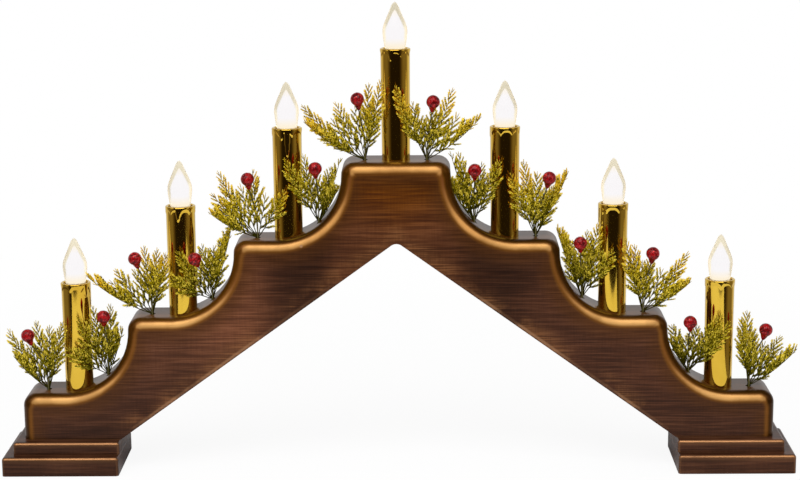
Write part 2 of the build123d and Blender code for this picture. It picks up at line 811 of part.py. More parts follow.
# Berries: pear-shaped, each on a wire that stands in its own hole beside the sprig's peg
with BuildPart() as berries:
    for place, number in enumerate(candle_numbers):
        for side, side_name in ((-1, "left"), (1, "right")):
            peg_x = candle_x(number) + side * sprig_offset
            root_z = surface_height(peg_x)
            across, up, forward = berry_place_shares[(place + 1, side_name)]
            root = Vector(peg_x, berry_y, root_z)
            middle = root + Vector(across, -forward, up) * sprig_reach
            knee = root + Vector(0, 0, berry_wire_rise)
            along = (middle - knee).normalized()
            neck = middle - along * (berry_radius + berry_neck)
            with BuildLine():
                FilletPolyline(
                    root - Vector(0, 0, berry_wire_depth),
                    knee,
                    neck + along * berry_neck / 2,
                    radius=berry_wire_bend,
                )
            with BuildSketch(Plane.XY.move(Location(root - Vector(0, 0, berry_wire_depth)))):
                Circle(berry_wire_radius)
            sweep()
            sideways = along.cross(viewer)
            with BuildSketch(Plane(neck, x_dir=sideways, z_dir=sideways.cross(along))):
                with BuildLine():
                    slim = berry_wire_radius + clearance
                    touch = berry_radius * math.cos(math.radians(branchlet_angle))
                    drop = berry_radius * math.sin(math.radians(branchlet_angle))
                    centre = berry_radius + berry_neck
                    Polyline((0, centre + berry_radius), (0, 0), (slim, 0), (touch, centre - drop))
                    ThreePointArc(
                        (touch, centre - drop), (berry_radius, centre), (0, centre + berry_radius)
                    )
                make_face()
            revolve(axis=Axis(neck, along))
berries.part.label = "berries"
export_step(berries.part, "parts/berries.step")
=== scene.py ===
import bpy
import math
import random
import numpy as np
from mathutils import Matrix, Vector


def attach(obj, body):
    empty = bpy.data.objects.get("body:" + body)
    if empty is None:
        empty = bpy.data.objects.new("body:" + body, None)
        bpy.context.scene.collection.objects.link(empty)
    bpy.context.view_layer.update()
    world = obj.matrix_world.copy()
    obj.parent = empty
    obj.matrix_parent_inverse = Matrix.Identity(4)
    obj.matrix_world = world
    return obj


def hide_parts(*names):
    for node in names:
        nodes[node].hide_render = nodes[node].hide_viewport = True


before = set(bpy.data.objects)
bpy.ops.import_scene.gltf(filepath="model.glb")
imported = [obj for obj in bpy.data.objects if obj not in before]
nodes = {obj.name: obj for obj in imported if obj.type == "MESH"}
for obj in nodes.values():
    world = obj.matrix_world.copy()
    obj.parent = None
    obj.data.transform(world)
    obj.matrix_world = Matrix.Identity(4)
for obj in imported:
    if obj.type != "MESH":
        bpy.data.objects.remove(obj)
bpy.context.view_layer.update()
scene = bpy.context.scene
scene.view_settings.view_transform = "Standard"
print("frame loaded:", len(nodes), "nodes")

# where things stand on the arch, in metres, with the steps counted on one side
arch = {
    "pitch": 0.0611, "rise": 0.0441, "steps": 3, "topTread": 0.1769, "cove": 0.037, "corner": 0.0095,
    "halfDepth": 0.016, "sleeveLength": 0.0625, "foot": 0.018, "legSeat": 0.0552,
}
middleCandle = arch["steps"] + 1
candleNumbers = range(1, 2 * arch["steps"] + 2)


def candlePlace(number):  # a candle's place across the arch and the height of its tread
    step = abs(number - middleCandle)
    return (number - middleCandle) * arch["pitch"], arch["topTread"] - step * arch["rise"]


def woodHeight(x):  # top of the wood at x: flat tread or rising cove
    step = round(abs(x) / arch["pitch"])
    height = arch["topTread"] - step * arch["rise"]
    if step == 0:
        return height
    if step > arch["steps"]:
        return 0.0
    run = arch["pitch"] * (step - 0.5) + arch["cove"] - abs(x)
    if run <= 0:
        return height
    return height + arch["cove"] - math.sqrt(max(arch["cove"] ** 2 - run ** 2, 0.0))


def deselectAll():
    if bpy.context.object and bpy.context.object.mode != "OBJECT":
        bpy.ops.object.mode_set(mode="OBJECT")
    bpy.ops.object.select_all(action="DESELECT")


def pick(*things):
    deselectAll()
    for thing in things:
        thing.select_set(True)
    bpy.context.view_layer.objects.active = things[-1]


def joinUp(things, name):
    pick(*things)
    if len(things) > 1:
        bpy.ops.object.join()
    whole = bpy.context.view_layer.objects.active
    bpy.ops.object.transform_apply(location=True, rotation=True, scale=True)
    whole.name = name
    whole.data.name = name
    return whole


def linkedCopy(source):  # a copy with its own mesh
    copy = source.copy()
    copy.data = source.data.copy()
    scene.collection.objects.link(copy)
    return copy


def meshPoints(mesh):
    points = np.empty(len(mesh.vertices) * 3)
    mesh.vertices.foreach_get("co", points)
    return points.reshape(-1, 3)


def setPoints(mesh, points):
    mesh.vertices.foreach_set("co", np.ascontiguousarray(points, dtype=np.float64).ravel())
    mesh.update()


def pointValues(thing, name, values):  # one number for each point, for the finish to read
    layer = thing.data.attributes.new(name, "FLOAT", "POINT")
    layer.data.foreach_set("value", np.asarray(values, dtype=np.float32))


# shader sockets that take part in Python sums
class Sock:
    def __init__(self, finish, out):
        self.finish = finish
        self.out = out

    def sum(self, operation, a, b):
        return self.finish.node("ShaderNodeMath", {"operation": operation}, {0: a, 1: b})

    def __radd__(self, other):
        return self.sum("ADD", other, self)

    def __rsub__(self, other):
        return self.sum("SUBTRACT", other, self)

    def twin(self, name):  # another output of the same node
        return Sock(self.finish, self.out.node.outputs[name])


sockSums = {
    "__add__": "ADD", "__sub__": "SUBTRACT", "__mul__": "MULTIPLY", "__truediv__": "DIVIDE",
    "__gt__": "GREATER_THAN", "__abs__": "ABSOLUTE", "most": "MAXIMUM", "least": "MINIMUM",
    "root": "SQRT", "whole": "ROUND",
}


def sockMethod(operation):
    def method(self, other=0.0):
        return self.sum(operation, self, other)

    return method


for word, operation in sockSums.items():
    setattr(Sock, word, sockMethod(operation))


class Finish:
    def __init__(self, name, tree=None, fades=None):
        if tree is None:
            self.material = bpy.data.materials.new(name)
            self.material.use_nodes = True
            tree = self.material.node_tree
        self.tree = tree
        self.tree.nodes.clear()
        self.fades = fades

    def node(self, kind, settings=None, sockets=None, out=0):
        made = self.tree.nodes.new(kind)
        for key, value in (settings or {}).items():
            setattr(made, key, value)
        for key, value in (sockets or {}).items():
            if isinstance(value, Sock):
                self.tree.links.new(value.out, made.inputs[key])
            else:
                made.inputs[key].default_value = value
        if len(made.outputs) == 0:
            return None
        return Sock(self, made.outputs[out])

    def axis(self, kind, letter):  # one part of a texture coordinate
        coords = self.node("ShaderNodeTexCoord", out=kind)
        return self.node("ShaderNodeSeparateXYZ", None, {0: coords}, out=letter)

    def place(self, scale=(1, 1, 1)):
        coords = self.node("ShaderNodeTexCoord", out="Object")
        return self.node("ShaderNodeMapping", None, {"Vector": coords, "Scale": scale})

    def noise(self, vector, scale, detail=3.0, roughness=0.55):
        return self.node(
            "ShaderNodeTexNoise", None,
            {"Vector": vector, "Scale": scale, "Detail": detail, "Roughness": roughness},
        )

    def cells(self, scale, out="Distance"):
        return self.node(
            "ShaderNodeTexVoronoi", {"feature": "F1"}, {"Vector": self.place(), "Scale": scale}, out=out,
        )

    def flakes(self, scale):  # one random number for each small cell
        return self.node("ShaderNodeSeparateXYZ", None, {0: self.cells(scale, "Color")})

    def smooth(self, value, low, high):
        return self.node(
            "ShaderNodeMapRange", {"interpolation_type": "SMOOTHSTEP"},
            {"Value": value, "From Min": low, "From Max": high},
        )

    def fade(self, value, key):
        return self.smooth(value, *self.fades[key])

    def window(self, value, start, end):  # fades in at one place and out at another
        return self.fade(value, start) * (1 - self.fade(value, end))

    def mix(self, factor, first, second, blend="MIX"):
        return self.node(
            "ShaderNodeMix", {"data_type": "RGBA", "blend_type": blend},
            {0: factor, 6: first, 7: second}, out=2,
        )

    def either(self, factor, first, second):
        return self.node("ShaderNodeMix", {"data_type": "FLOAT"}, {0: factor, 2: first, 3: second})

    def ramp(self, factor, stops):
        made = self.node("ShaderNodeValToRGB", None, {0: factor})
        elements = made.out.node.color_ramp.elements
        while len(elements) < len(stops):
            elements.new(0.5)
        for element, (place, colour) in zip(elements, stops):
            element.position = place
            element.color = colour
        return made

    def bump(self, height, strength, distance):
        return self.node(
            "ShaderNodeBump", None, {"Height": height, "Strength": strength, "Distance": distance},
        )

    def surface(self, **sockets):
        names = {key.replace("_", " "): value for key, value in sockets.items()}
        shader = self.node("ShaderNodeBsdfPrincipled", None, names)
        self.node("ShaderNodeOutputMaterial", None, {"Surface": shader})
        return self.material


def paint(thing, material):
    thing.data.materials.clear()
    thing.data.materials.append(material)


# camera at the photograph's viewing angle
cameraSet = {
    "place": (0.01762, -1.12748, 0.36212), "yaw": -0.802, "pitch": 11.612, "roll": -0.485,
    "lens": 91.44, "sensor": 36.0, "nearest": 0.01,
}


def setCamera():
    yaw, pitch, roll = (math.radians(cameraSet[key]) for key in ("yaw", "pitch", "roll"))
    ahead = Vector((math.sin(yaw) * math.cos(pitch), math.cos(yaw) * math.cos(pitch), -math.sin(pitch)))
    flat = Vector((math.cos(yaw), -math.sin(yaw), 0))
    above = flat.cross(ahead)
    right = flat * math.cos(roll) + above * math.sin(roll)
    up = above * math.cos(roll) - flat * math.sin(roll)
    camera = bpy.data.objects.new("photoCamera", bpy.data.cameras.new("photoCamera"))
    scene.collection.objects.link(camera)
    turn = Matrix((right, up, -ahead)).transposed().to_4x4()
    camera.matrix_world = Matrix.Translation(cameraSet["place"]) @ turn
    camera.data.lens = cameraSet["lens"]
    camera.data.sensor_width = cameraSet["sensor"]
    camera.data.clip_start = cameraSet["nearest"]
    scene.camera = camera


setCamera()

# plain studio: white sweep, soft boxes above, dark room behind the camera
studio = {
    "floorFront": -0.42, "floorBack": 1.6, "floorHalf": 0.36, "floorEdge": 0.01,
    "floorColour": (0.93, 0.93, 0.93, 1), "shadow": 0.09, "shadowHalf": 0.25, "shadowFront": -0.15,
    "shadowBack": (0.12, 0.60),
    "keyPower": 26, "keyPlace": (-0.12, -0.95, 1.5), "keySize": (1.7, 1.1),
    "sidePower": 2, "sidePlace": (1.25, -0.55, 0.75), "sideSize": (0.5, 0.9), "aim": (0, 0, 0.12),
    "white": (1, 1, 1, 1), "dusk": (1.0, 0.70, 0.50, 1), "ambient": 0.38,
}
# what a shiny surface mirrors: how strong each side of the room is and where it fades in
mirrored = {"front": 0.018, "aside": 0.23, "back": 0.60, "top": 0.06, "asideWhite": 0.5}
mirroredFades = {"aside": (-0.86, -0.35), "tilt": (0.30, 0.60), "back": (0.10, 0.60), "top": (0.25, 0.9)}


def setFloor():
    deselectAll()
    bpy.ops.mesh.primitive_plane_add(size=1)
    floor = bpy.context.object
    floor.name = "floor"
    depth = studio["floorBack"] - studio["floorFront"]
    floor.scale = (studio["floorHalf"] * 2, depth, 1)
    floor.location = (0, studio["floorFront"] + depth / 2, 0)
    bpy.ops.object.transform_apply(location=True, scale=True)
    sweep = Finish("whiteSweep")
    seen = sweep.node("ShaderNodeLightPath", out="Is Camera Ray")
    matt = sweep.node("ShaderNodeBsdfDiffuse", None, {"Color": studio["floorColour"]})
    glow = sweep.node("ShaderNodeEmission", None, {"Color": studio["white"], "Strength": 1.0})
    spotX = sweep.axis("Object", "X")
    spotY = spotX.twin("Y")
    near = 1 - sweep.smooth(abs(spotX), studio["shadowHalf"], studio["floorHalf"] - studio["floorEdge"])
    near = near * (1 - sweep.smooth(spotY, *studio["shadowBack"]))
    near = near * sweep.smooth(spotY, studio["floorFront"] + studio["floorEdge"], studio["shadowFront"])
    share = seen * (1 - near * studio["shadow"])
    both = sweep.node("ShaderNodeMixShader", None, {0: share, 1: matt, 2: glow})
    sweep.node("ShaderNodeOutputMaterial", None, {"Surface": both})
    paint(floor, sweep.material)


def setRoom():
    world = bpy.data.worlds.new("studioRoom")
    scene.world = world
    world.use_nodes = True
    room = Finish("studioRoom", world.node_tree, mirroredFades)
    ray = room.node("ShaderNodeLightPath", out="Is Camera Ray")
    shine = ray.twin("Is Glossy Ray")
    clear = ray.twin("Is Transmission Ray")
    ahead = room.axis("Generated", "Y")
    high = ahead.twin("Z")
    back = room.fade(ahead, "back")
    top = room.fade(high, "top")
    aside = room.fade(ahead, "aside") * (1 - room.fade(abs(high), "tilt"))
    sides = mirrored["front"] + aside * mirrored["aside"] + back * mirrored["back"] + top * mirrored["top"]
    level = room.either(shine, studio["ambient"], sides)
    strength = room.either(ray.most(clear), level, 1.0)
    tint = shine * (1 - back) * (1 - aside * mirrored["asideWhite"])
    hue = room.mix(tint, studio["white"], studio["dusk"])
    light = room.node("ShaderNodeBackground", None, {"Color": hue, "Strength": strength})
    room.node("ShaderNodeOutputWorld", None, {"Surface": light})


def areaLight(name, place, size, power):
    lamp = bpy.data.lights.new(name, "AREA")
    lamp.shape = "RECTANGLE"
    lamp.size, lamp.size_y = size
    lamp.energy = power
    lampObject = bpy.data.objects.new(name, lamp)
    scene.collection.objects.link(lampObject)
    lampObject.location = place
    lampObject.rotation_euler = (Vector(studio["aim"]) - Vector(place)).to_track_quat("-Z", "Y").to_euler()


setFloor()
setRoom()
areaLight("keyBox", studio["keyPlace"], studio["keySize"], studio["keyPower"])
for side in (-1, 1):
    sideX, sideY, sideZ = studio["sidePlace"]
    areaLight("sideBox" + str(side), (side * sideX, sideY, sideZ), studio["sideSize"], studio["sidePower"])
print("studio ready")

# dark lacquered wood: brushed streaks, bronze rubbed along the rounded edges and brightened as a painted
# highlight, painted shade and sheen on the lacquer, small chips
woodLook = {
    "dark": (0.048, 0.016, 0.007, 1), "brown": (0.083, 0.028, 0.012, 1), "streak": (0.140, 0.052, 0.024, 1),
    "warmDark": (0.050, 0.011, 0.001, 1), "warm": (0.160, 0.046, 0.001, 1),
    "glazeDark": (0.046, 0.014, 0.002, 1), "glaze": (0.092, 0.031, 0.006, 1),
    # bronze of the edge band: the two bright bronzes are painted highlight, the dark side bronze is painted
    # shade
    "bronze": (0.73, 0.388, 0.124, 1), "litCoveBronze": (0.80, 0.405, 0.125, 1),
    "shadedSideBronze": (0.23, 0.082, 0.020, 1), "deepBronze": (0.26, 0.096, 0.008, 1),
    "warmBronze": (0.85, 0.75, 0.60, 1), "footBronze": (0.40, 0.195, 0.085, 1),
    "rim": (0.085, 0.029, 0.0006, 1), "topSheen": (0.25, 0.125, 0.020, 1), "scuff": (0.24, 0.098, 0.034, 1),
    "lowEdge": (0.34, 0.175, 0.085, 1), "chip": (0.40, 0.22, 0.11, 1),
}
# noises in the lacquer: stretch along each axis, scale and detail
woodNoise = {
    "fine": ((38, 240, 1250), 1.0, 4.0), "broad": ((9, 40, 210), 1.0, 3.0),
    "brush": ((1100, 240, 60), 1.0, 2.0),
    "spots": ((1, 1, 1), 46.0, 4.0), "cloud": ((12, 30, 34), 1.0, 2.0), "rare": ((1, 1, 1), 24.0, 2.0),
}
# where each layer fades in: places in metres, or shares of a noise or of a facing
woodFades = {
    "grain": (0.32, 0.68), "cloud": (0.30, 0.70), "outward": (0.012, 0.095), "crest": (0.128, 0.160),
    "aloft": (0.022, 0.030), "isArch": (0.0178, 0.0190), "topSheenFade": (0.5, 0.95), "coatedTop": (0.6, 0.95),
    "footEdge": (0.25, 0.70), "footFace": (0.93, 0.999), "footUpper": (0.05, 0.35),
    "footSpots": (0.15, 0.50),
    "lowTier": (0.0062, 0.0108), "lowTierEnd": (0.0108, 0.0112), "tierFace": (0.90, 0.99),
    "highTier": (0.0140, 0.0180), "highTierEnd": (0.0182, 0.0188),
    "swing": (-0.003, 0.003), "turned": (0.0, 0.0045), "level": (0.75, 1.0), "highStep": (0.105, 0.150),
    "rimFace": (0.02, 0.22), "bandFace": (0.3, 0.6), "bandSpots": (0.35, 0.60), "bandHeart": (0.30, 1.0),
    "bandLift": (0.05, 0.65), "glaze": (0.006, 0.018),
    "aboveFoot": (0.015, 0.075), "rightFoot": (0.05, 0.16), "rightShade": (0.02, 0.10),
    "armStart": (0.028, 0.046), "armEnd": (0.058, 0.090), "gleamStart": (0.060, 0.085),
    "gleamEnd": (0.095, 0.125),
    "scuff": (0.001, 0.015), "scuffSpots": (0.42, 0.58), "scuffGrain": (0.35, 0.85),
    "lowEdge": (0.0002, 0.0012), "lowEdgeEnd": (0.0016, 0.0032), "lowEdgeAway": (0.025, 0.060),
    "lowEdgeSpots": (0.40, 0.60), "chip": (0.03, 0.075), "chipRare": (0.60, 0.66),
}
# how strong each layer is, as shares
woodShare = {
    "fine": 0.70, "broad": 0.20, "brush": 0.10, "crestSlope": 0.30, "warm": 0.25, "crest": 0.67,
    "topSheen": 0.6,
    "footSide": 0.25, "tiers": 0.34, "footBronze": 0.92, "rim": 0.92, "lowStep": 0.30,
    "bandSpots": 0.80, "corner": 0.22, "warmBand": 0.6, "footShade": 0.45, "rightFoot": 0.55,
    "cloudLeast": 0.62, "cloud": 0.42,
    "rightShade": 0.12, "arms": 0.52, "gleam": 0.55, "glaze": 0.75, "scuff": 0.60, "scuffGrain": 0.25,
    "lowEdge": 0.55, "lowEdgeSpots": 0.25, "chip": 0.8, "coat": 0.13,
}
# where the bronze begins and ends, inward from the outline, with what the outline's slope takes off
bandPlaces = {
    "start": 0.0026, "startLift": 0.0021, "full": 0.0052, "fullLift": 0.0024,
    "fade": 0.0040, "end": 0.0082, "levelIn": 0.0006, "lowStepIn": 0.004,
}
woodGloss = {"rough": 0.26, "broad": 0.12, "bronze": 0.10, "chip": 0.25, "specular": 0.12, "coatRough": 0.16}
woodMetal = {"rubbedAndLit": 0.92, "strip": 0.25, "rim": 0.55}
woodRelief = {"fine": 0.5, "broad": 0.4, "chip": 0.6, "strength": 0.10, "depth": 0.0004}
chipScale = 62.0


def edgeDistance(wood, away, height):  # how far in from the outline, and how far up the outline faces there
    pitch, cove, corner = arch["pitch"], arch["cove"], arch["corner"]

    def length(a, b):
        return (a * a + b * b).root()

    # to the step's own tread and cove
    step = (away * (1 / pitch)).whole()
    flat = arch["topTread"] - step * arch["rise"] - height
    level = 0 - flat - cove
    run = step * pitch + (cove - pitch / 2) - away
    curved = (run > 0) * (step > 0.5)
    arc = length(run, level)
    own = flat + (arc - cove - flat) * curved
    ownLift = 1 - (1 + level / arc) * curved
    # to the step's outer side, which is the end of the next cove
    side = step * pitch + pitch / 2 - away
    drop = 0 - level - arch["rise"]
    bend = length(side + cove, drop)
    below = (drop > 0) * ((arch["steps"] - 0.5 - step) > 0)
    outer = side + (bend - cove - side) * below
    outerLift = drop / bend * below
    # the two meet in a rounded corner
    nearOwn = corner - own
    nearOuter = corner - outer
    cornerRun = length(nearOwn.most(0), nearOuter.most(0))
    inward = corner - cornerRun - nearOwn.most(nearOuter).least(0)
    swing = wood.fade(own - outer, "swing")
    turned = wood.fade(nearOwn.least(nearOuter), "turned")
    return inward, ownLift + (outerLift - ownLift) * swing, turned


def atLeast(key, value):  # raises the low end of a mask
    return woodShare[key] + value * (1 - woodShare[key])


def layer(wood, mask, key, colour):  # one layer of paint over the colour below
    return wood.mix(mask * woodShare[key], colour, woodLook[key])


def bronzeBand(wood, at):  # bronze along the rounded outline, inside a dark rim; the bronze is drawn bright as a painted highlight
    inward, lift, turned = edgeDistance(wood, at["away"], at["height"])
    level = wood.fade(lift, "level")
    start = wood.smooth(
        inward, bandPlaces["start"] - lift * bandPlaces["startLift"],
        bandPlaces["full"] - lift * bandPlaces["fullLift"],
    )
    rim = (1 - start) * wood.fade(at["front"], "rimFace") * at["isArch"]
    lowStep = (1 - wood.fade(at["height"], "highStep")) * woodShare["lowStep"]
    shift = level * bandPlaces["levelIn"] + lowStep * (1 - level) * bandPlaces["lowStepIn"]
    end = 1 - wood.smooth(inward, bandPlaces["fade"] - shift, bandPlaces["end"] - shift)
    strip = start * end * wood.fade(at["front"], "bandFace") * at["isArch"]
    strip = strip * atLeast("bandSpots", wood.fade(at["spots"], "bandSpots"))
    strip = strip * (1 - turned * woodShare["corner"])
    # painted highlight: bright bronze where the outline faces up and in the coves
    lit = wood.mix(level.most(turned), woodLook["litCoveBronze"], woodLook["bronze"])
    # painted shade: darker bronze on the upright sides of the outline
    trim = wood.mix(wood.fade(lift - lowStep, "bandLift"), woodLook["shadedSideBronze"], lit)
    trim = wood.mix(wood.fade(strip, "bandHeart"), woodLook["deepBronze"], trim)
    warmTrim = wood.mix(1.0, trim, woodLook["warmBronze"], "MULTIPLY")
    trim = wood.mix(at["warmth"] * woodShare["warmBand"], trim, warmTrim)
    return inward, rim, strip, trim


def footBronze(wood, at):  # bronze rubbed on the edges of the foot plates, brightened as a painted highlight
    edge = wood.window(at["front"], "footEdge", "footFace") * (1 - at["isArch"])
    # painted highlight: more bronze on the edges that face up
    edge = edge * atLeast("footSide", wood.fade(at["upward"], "footUpper"))
    # bronze fading down each tier's front face from its top edge, part rub, part painted highlight
    tiers = wood.window(at["height"], "lowTier", "lowTierEnd")
    tiers = tiers + wood.window(at["height"], "highTier", "highTierEnd")
    edge = edge + tiers * wood.fade(at["front"], "tierFace") * woodShare["tiers"]
    return edge * wood.fade(at["spots"], "footSpots")


def lacquerShade(wood, at, cloud, rubbedAndLit):  # painted light and shade on the lacquer, as one grey: painted shade toward the foot and over the right side, a darker band where the arms begin, a painted highlight on the left arm, over a cloudy random tone
    bare = 1 - rubbedAndLit
    low = 1 - wood.fade(at["height"], "aboveFoot")
    right = wood.fade(at["across"], "rightFoot")
    # painted shade: darker toward the foot, less so on the right
    dim = low * woodShare["footShade"] * (1 - right * woodShare["rightFoot"])
    shade = (1 - dim * bare) * (woodShare["cloudLeast"] + wood.fade(cloud, "cloud") * woodShare["cloud"])
    # painted shade over the right side
    shade = shade * (1 - wood.fade(at["across"], "rightShade") * bare * woodShare["rightShade"])
    arms = wood.window(at["away"], "armStart", "armEnd")
    shade = shade * (1 - arms * bare * woodShare["arms"])
    # painted highlight: a lighter band on the left arm
    gleam = wood.window(0 - at["across"], "gleamStart", "gleamEnd")
    shade = shade * (1 + gleam * bare * woodShare["gleam"])
    return wood.node("ShaderNodeCombineColor", None, {0: shade, 1: shade, 2: shade})


def armScuffsAndGlint(wood, at, grain, colour):  # copper scuffs over the arms' undersides, and a light line on their lower edges that is part copper rub, part painted highlight
    slope = arch["rise"] / arch["pitch"]
    legRun = arch["pitch"] * (arch["steps"] + 0.5) - arch["legSeat"]
    above = at["height"] + at["away"] * slope - (arch["foot"] + legRun * slope)
    scuff = (1 - wood.fade(above, "scuff")) * at["aloft"] * wood.fade(at["spots"], "scuffSpots")
    colour = layer(wood, scuff * atLeast("scuffGrain", wood.fade(grain, "scuffGrain")), "scuff", colour)
    # painted highlight along the arms' lower edges, part copper rub
    lower = wood.window(above, "lowEdge", "lowEdgeEnd") * at["aloft"] * wood.fade(at["away"], "lowEdgeAway")
    lower = lower * atLeast("lowEdgeSpots", wood.fade(at["spots"], "lowEdgeSpots"))
    return layer(wood, lower, "lowEdge", colour)


def makeWood():
    wood = Finish("lacqueredWood", fades=woodFades)
    noises = {}
    for key, (stretch, scale, detail) in woodNoise.items():
        noises[key] = wood.noise(wood.place(stretch), scale, detail)
    fine, broad = noises["fine"], noises["broad"]
    grain = fine * woodShare["fine"] + broad * woodShare["broad"] + noises["brush"] * woodShare["brush"]
    grain = wood.fade(grain, "grain")
    across = wood.axis("Object", "X")
    height = across.twin("Z")
    away = abs(across)
    facing = wood.axis("Normal", "Y")
    upward = facing.twin("Z")
    at = {
        "across": across, "away": away, "height": height, "upward": upward, "front": abs(facing),
        "spots": noises["spots"], "aloft": wood.fade(height, "aloft"), "isArch": wood.fade(height, "isArch"),
        "warmth": 1 - wood.fade(away, "outward"),
    }

    colour = wood.ramp(grain, [(0.0, woodLook["dark"]), (0.5, woodLook["brown"]), (1.0, woodLook["streak"])])
    crest = wood.fade(height - away * woodShare["crestSlope"], "crest")
    warm = at["warmth"] * (woodShare["warm"] + crest * woodShare["crest"])
    colour = wood.mix(warm, colour, wood.mix(grain, woodLook["warmDark"], woodLook["warm"]))
    # painted sheen: the upward faces of the wood paler
    colour = layer(wood, wood.fade(upward, "topSheenFade") * at["aloft"], "topSheen", colour)
    rubbedAndLit = footBronze(wood, at)
    colour = layer(wood, rubbedAndLit, "footBronze", colour)
    inward, rim, strip, trim = bronzeBand(wood, at)
    colour = layer(wood, rim, "rim", colour)
    colour = wood.mix(1.0, colour, lacquerShade(wood, at, noises["cloud"], rubbedAndLit), "MULTIPLY")
    near = (1 - wood.fade(inward, "glaze")) * (1 - rim) * at["isArch"]
    glaze = wood.mix(grain, woodLook["glazeDark"], woodLook["glaze"])
    colour = wood.mix(near * woodShare["glaze"], colour, glaze)
    colour = wood.mix(strip, colour, trim)
    colour = armScuffsAndGlint(wood, at, grain, colour)
    chip = (1 - wood.fade(wood.cells(chipScale), "chip")) * wood.fade(noises["rare"], "chipRare")
    colour = layer(wood, chip, "chip", colour)

    rough = woodGloss["rough"] + broad * woodGloss["broad"] + (rubbedAndLit + strip) * woodGloss["bronze"]
    metal = rubbedAndLit * woodMetal["rubbedAndLit"] + strip * woodMetal["strip"] + rim * woodMetal["rim"]
    relief = fine * woodRelief["fine"] + broad * woodRelief["broad"] - chip * woodRelief["chip"]
    return wood.surface(
        Base_Color=colour, Metallic=metal, Roughness=rough + chip * woodGloss["chip"],
        Specular_IOR_Level=woodGloss["specular"],
        Coat_Weight=wood.fade(upward, "coatedTop") * at["aloft"] * woodShare["coat"],
        Coat_Roughness=woodGloss["coatRough"],
        Normal=wood.bump(relief, woodRelief["strength"], woodRelief["depth"]),
    )


woodFinish = makeWood()
for name in nodes:
    if name == "arch_body" or "_foot_" in name or name.startswith("channel_cover"):
        paint(nodes[name], woodFinish)

# moulded plastics and metals that show at the back and inside: colour, roughness and metal of each
plainLook = {
    "holderBlack": ((0.016, 0.014, 0.012, 1), 0.42, 0.0), "lampIvory": ((0.78, 0.72, 0.56, 1), 0.30, 0.0),
    "boxBrown": ((0.030, 0.018, 0.013, 1), 0.45, 0.0), "cellGrey": ((0.09, 0.095, 0.10, 1), 0.25, 0.0),
    "contactNickel": ((0.62, 0.60, 0.56, 1), 0.22, 1.0), "screwZinc": ((0.52, 0.52, 0.53, 1), 0.30, 1.0),
    "wireGreen": ((0.03, 0.09, 0.025, 1), 0.40, 0.0),
}
plainSpeckle = {"lighter": 1.25, "lift": 0.01, "fade": (0.35, 0.7), "rough": 0.12, "depth": 0.0003}
plainNodes = {
    "lamp_holder": "lampIvory", "lamp_base": "lampIvory", "battery_box": "boxBrown",
    "battery_lid": "boxBrown",
    "battery_cells": "cellGrey", "battery_contacts": "contactNickel", "switch_case": "contactNickel",
    "switch_knob": "holderBlack", "box_screws": "screwZinc", "foot_screws": "screwZinc",
    "wiring_harness": "wireGreen",
}


def makePlain(name, colour, rough, metal, grit=500.0, relief=0.06):
    plain = Finish(name)
    speckle = plain.noise(plain.place(), grit)
    lighter = [min(part * plainSpeckle["lighter"] + plainSpeckle["lift"], 1.0) for part in colour[:3]]
    shade = plain.mix(plain.smooth(speckle, *plainSpeckle["fade"]), colour, (*lighter, 1))
    return plain.surface(
        Base_Color=shade, Metallic=metal, Roughness=rough + speckle * plainSpeckle["rough"],
        Normal=plain.bump(speckle, relief, plainSpeckle["depth"]),
    )


plainFinish = {key: makePlain(key, *value) for key, value in plainLook.items()}
for name in nodes:
    for start, key in plainNodes.items():
        if name.startswith(start):
            paint(nodes[name], plainFinish[key])
print("finishes on the solids")


def softStep(value):
    value = np.clip(value, 0, 1)
    return value * value * (3 - 2 * value)


def cleanUp():  # merge what coincides in the active mesh and turn its faces outward
    bpy.ops.object.mode_set(mode="EDIT")
    bpy.ops.mesh.select_all(action="SELECT")
    bpy.ops.mesh.remove_doubles(threshold=0.000005)
    bpy.ops.mesh.normals_make_consistent(inside=False)
    bpy.ops.object.mode_set(mode="OBJECT")
    bpy.ops.object.shade_smooth()


def gridRound(rows, around):  # a grid to wrap about an upright axis, with the angle and the row of each point
    deselectAll()
    bpy.ops.mesh.primitive_grid_add(x_subdivisions=around, y_subdivisions=len(rows) - 1, size=2)
    grid = bpy.context.object
    flat = meshPoints(grid.data)
    angle = np.rint((flat[:, 0] + 1) / 2 * around) / around * 2 * math.pi
    row = np.rint((flat[:, 1] + 1) / 2 * (len(rows) - 1)).astype(int)
    return grid, angle, row


def wrapRound(grid, radius, angle, z, middle, name):
    x, y, base = middle
    setPoints(grid.data, np.stack([x + radius * np.cos(angle), y + radius * np.sin(angle), base + z], axis=1))
    cleanUp()
    return joinUp([grid], name)


# frosted flames: a hollow shell whose inner wall glows; radius and wall are in millimetres by share of height
flameShape = {
    "height": 0.0257, "tipRoom": 0.0040, "around": 48, "rows": 41, "crowding": 0.85, "smoothing": 2,
    "wall": [(0, 1.1), (0.3, 2.5), (0.75, 1.4), (1.0, 0.9)],
    "outline": [(0, 5.8), (0.16, 6.4), (0.33, 6.95), (0.45, 6.75), (0.59, 5.45), (0.74, 3.75), (0.855, 2.55),
                (0.93, 1.75), (0.975, 1.0), (1.0, 0.0)],
}
flameLook = {
    "shell": (0.94, 0.87, 0.68, 1), "rim": (1.0, 0.80, 0.46, 1), "rimPower": 0.05, "bend": 1.18,
    "rough": 0.30, "frost": 900.0, "frostDetail": 2.0, "frostRough": 0.1, "relief": 0.05, "depth": 0.0003,
    "glow": (0.75, 0.768, 0.895, 1), "warm": (0.80, 0.73, 0.62, 1), "stops": (0.0, 0.22, 0.66, 0.95),
    "black": (0.0, 0.0, 0.0, 1), "power": 1.24,
}
millimetre = 0.001


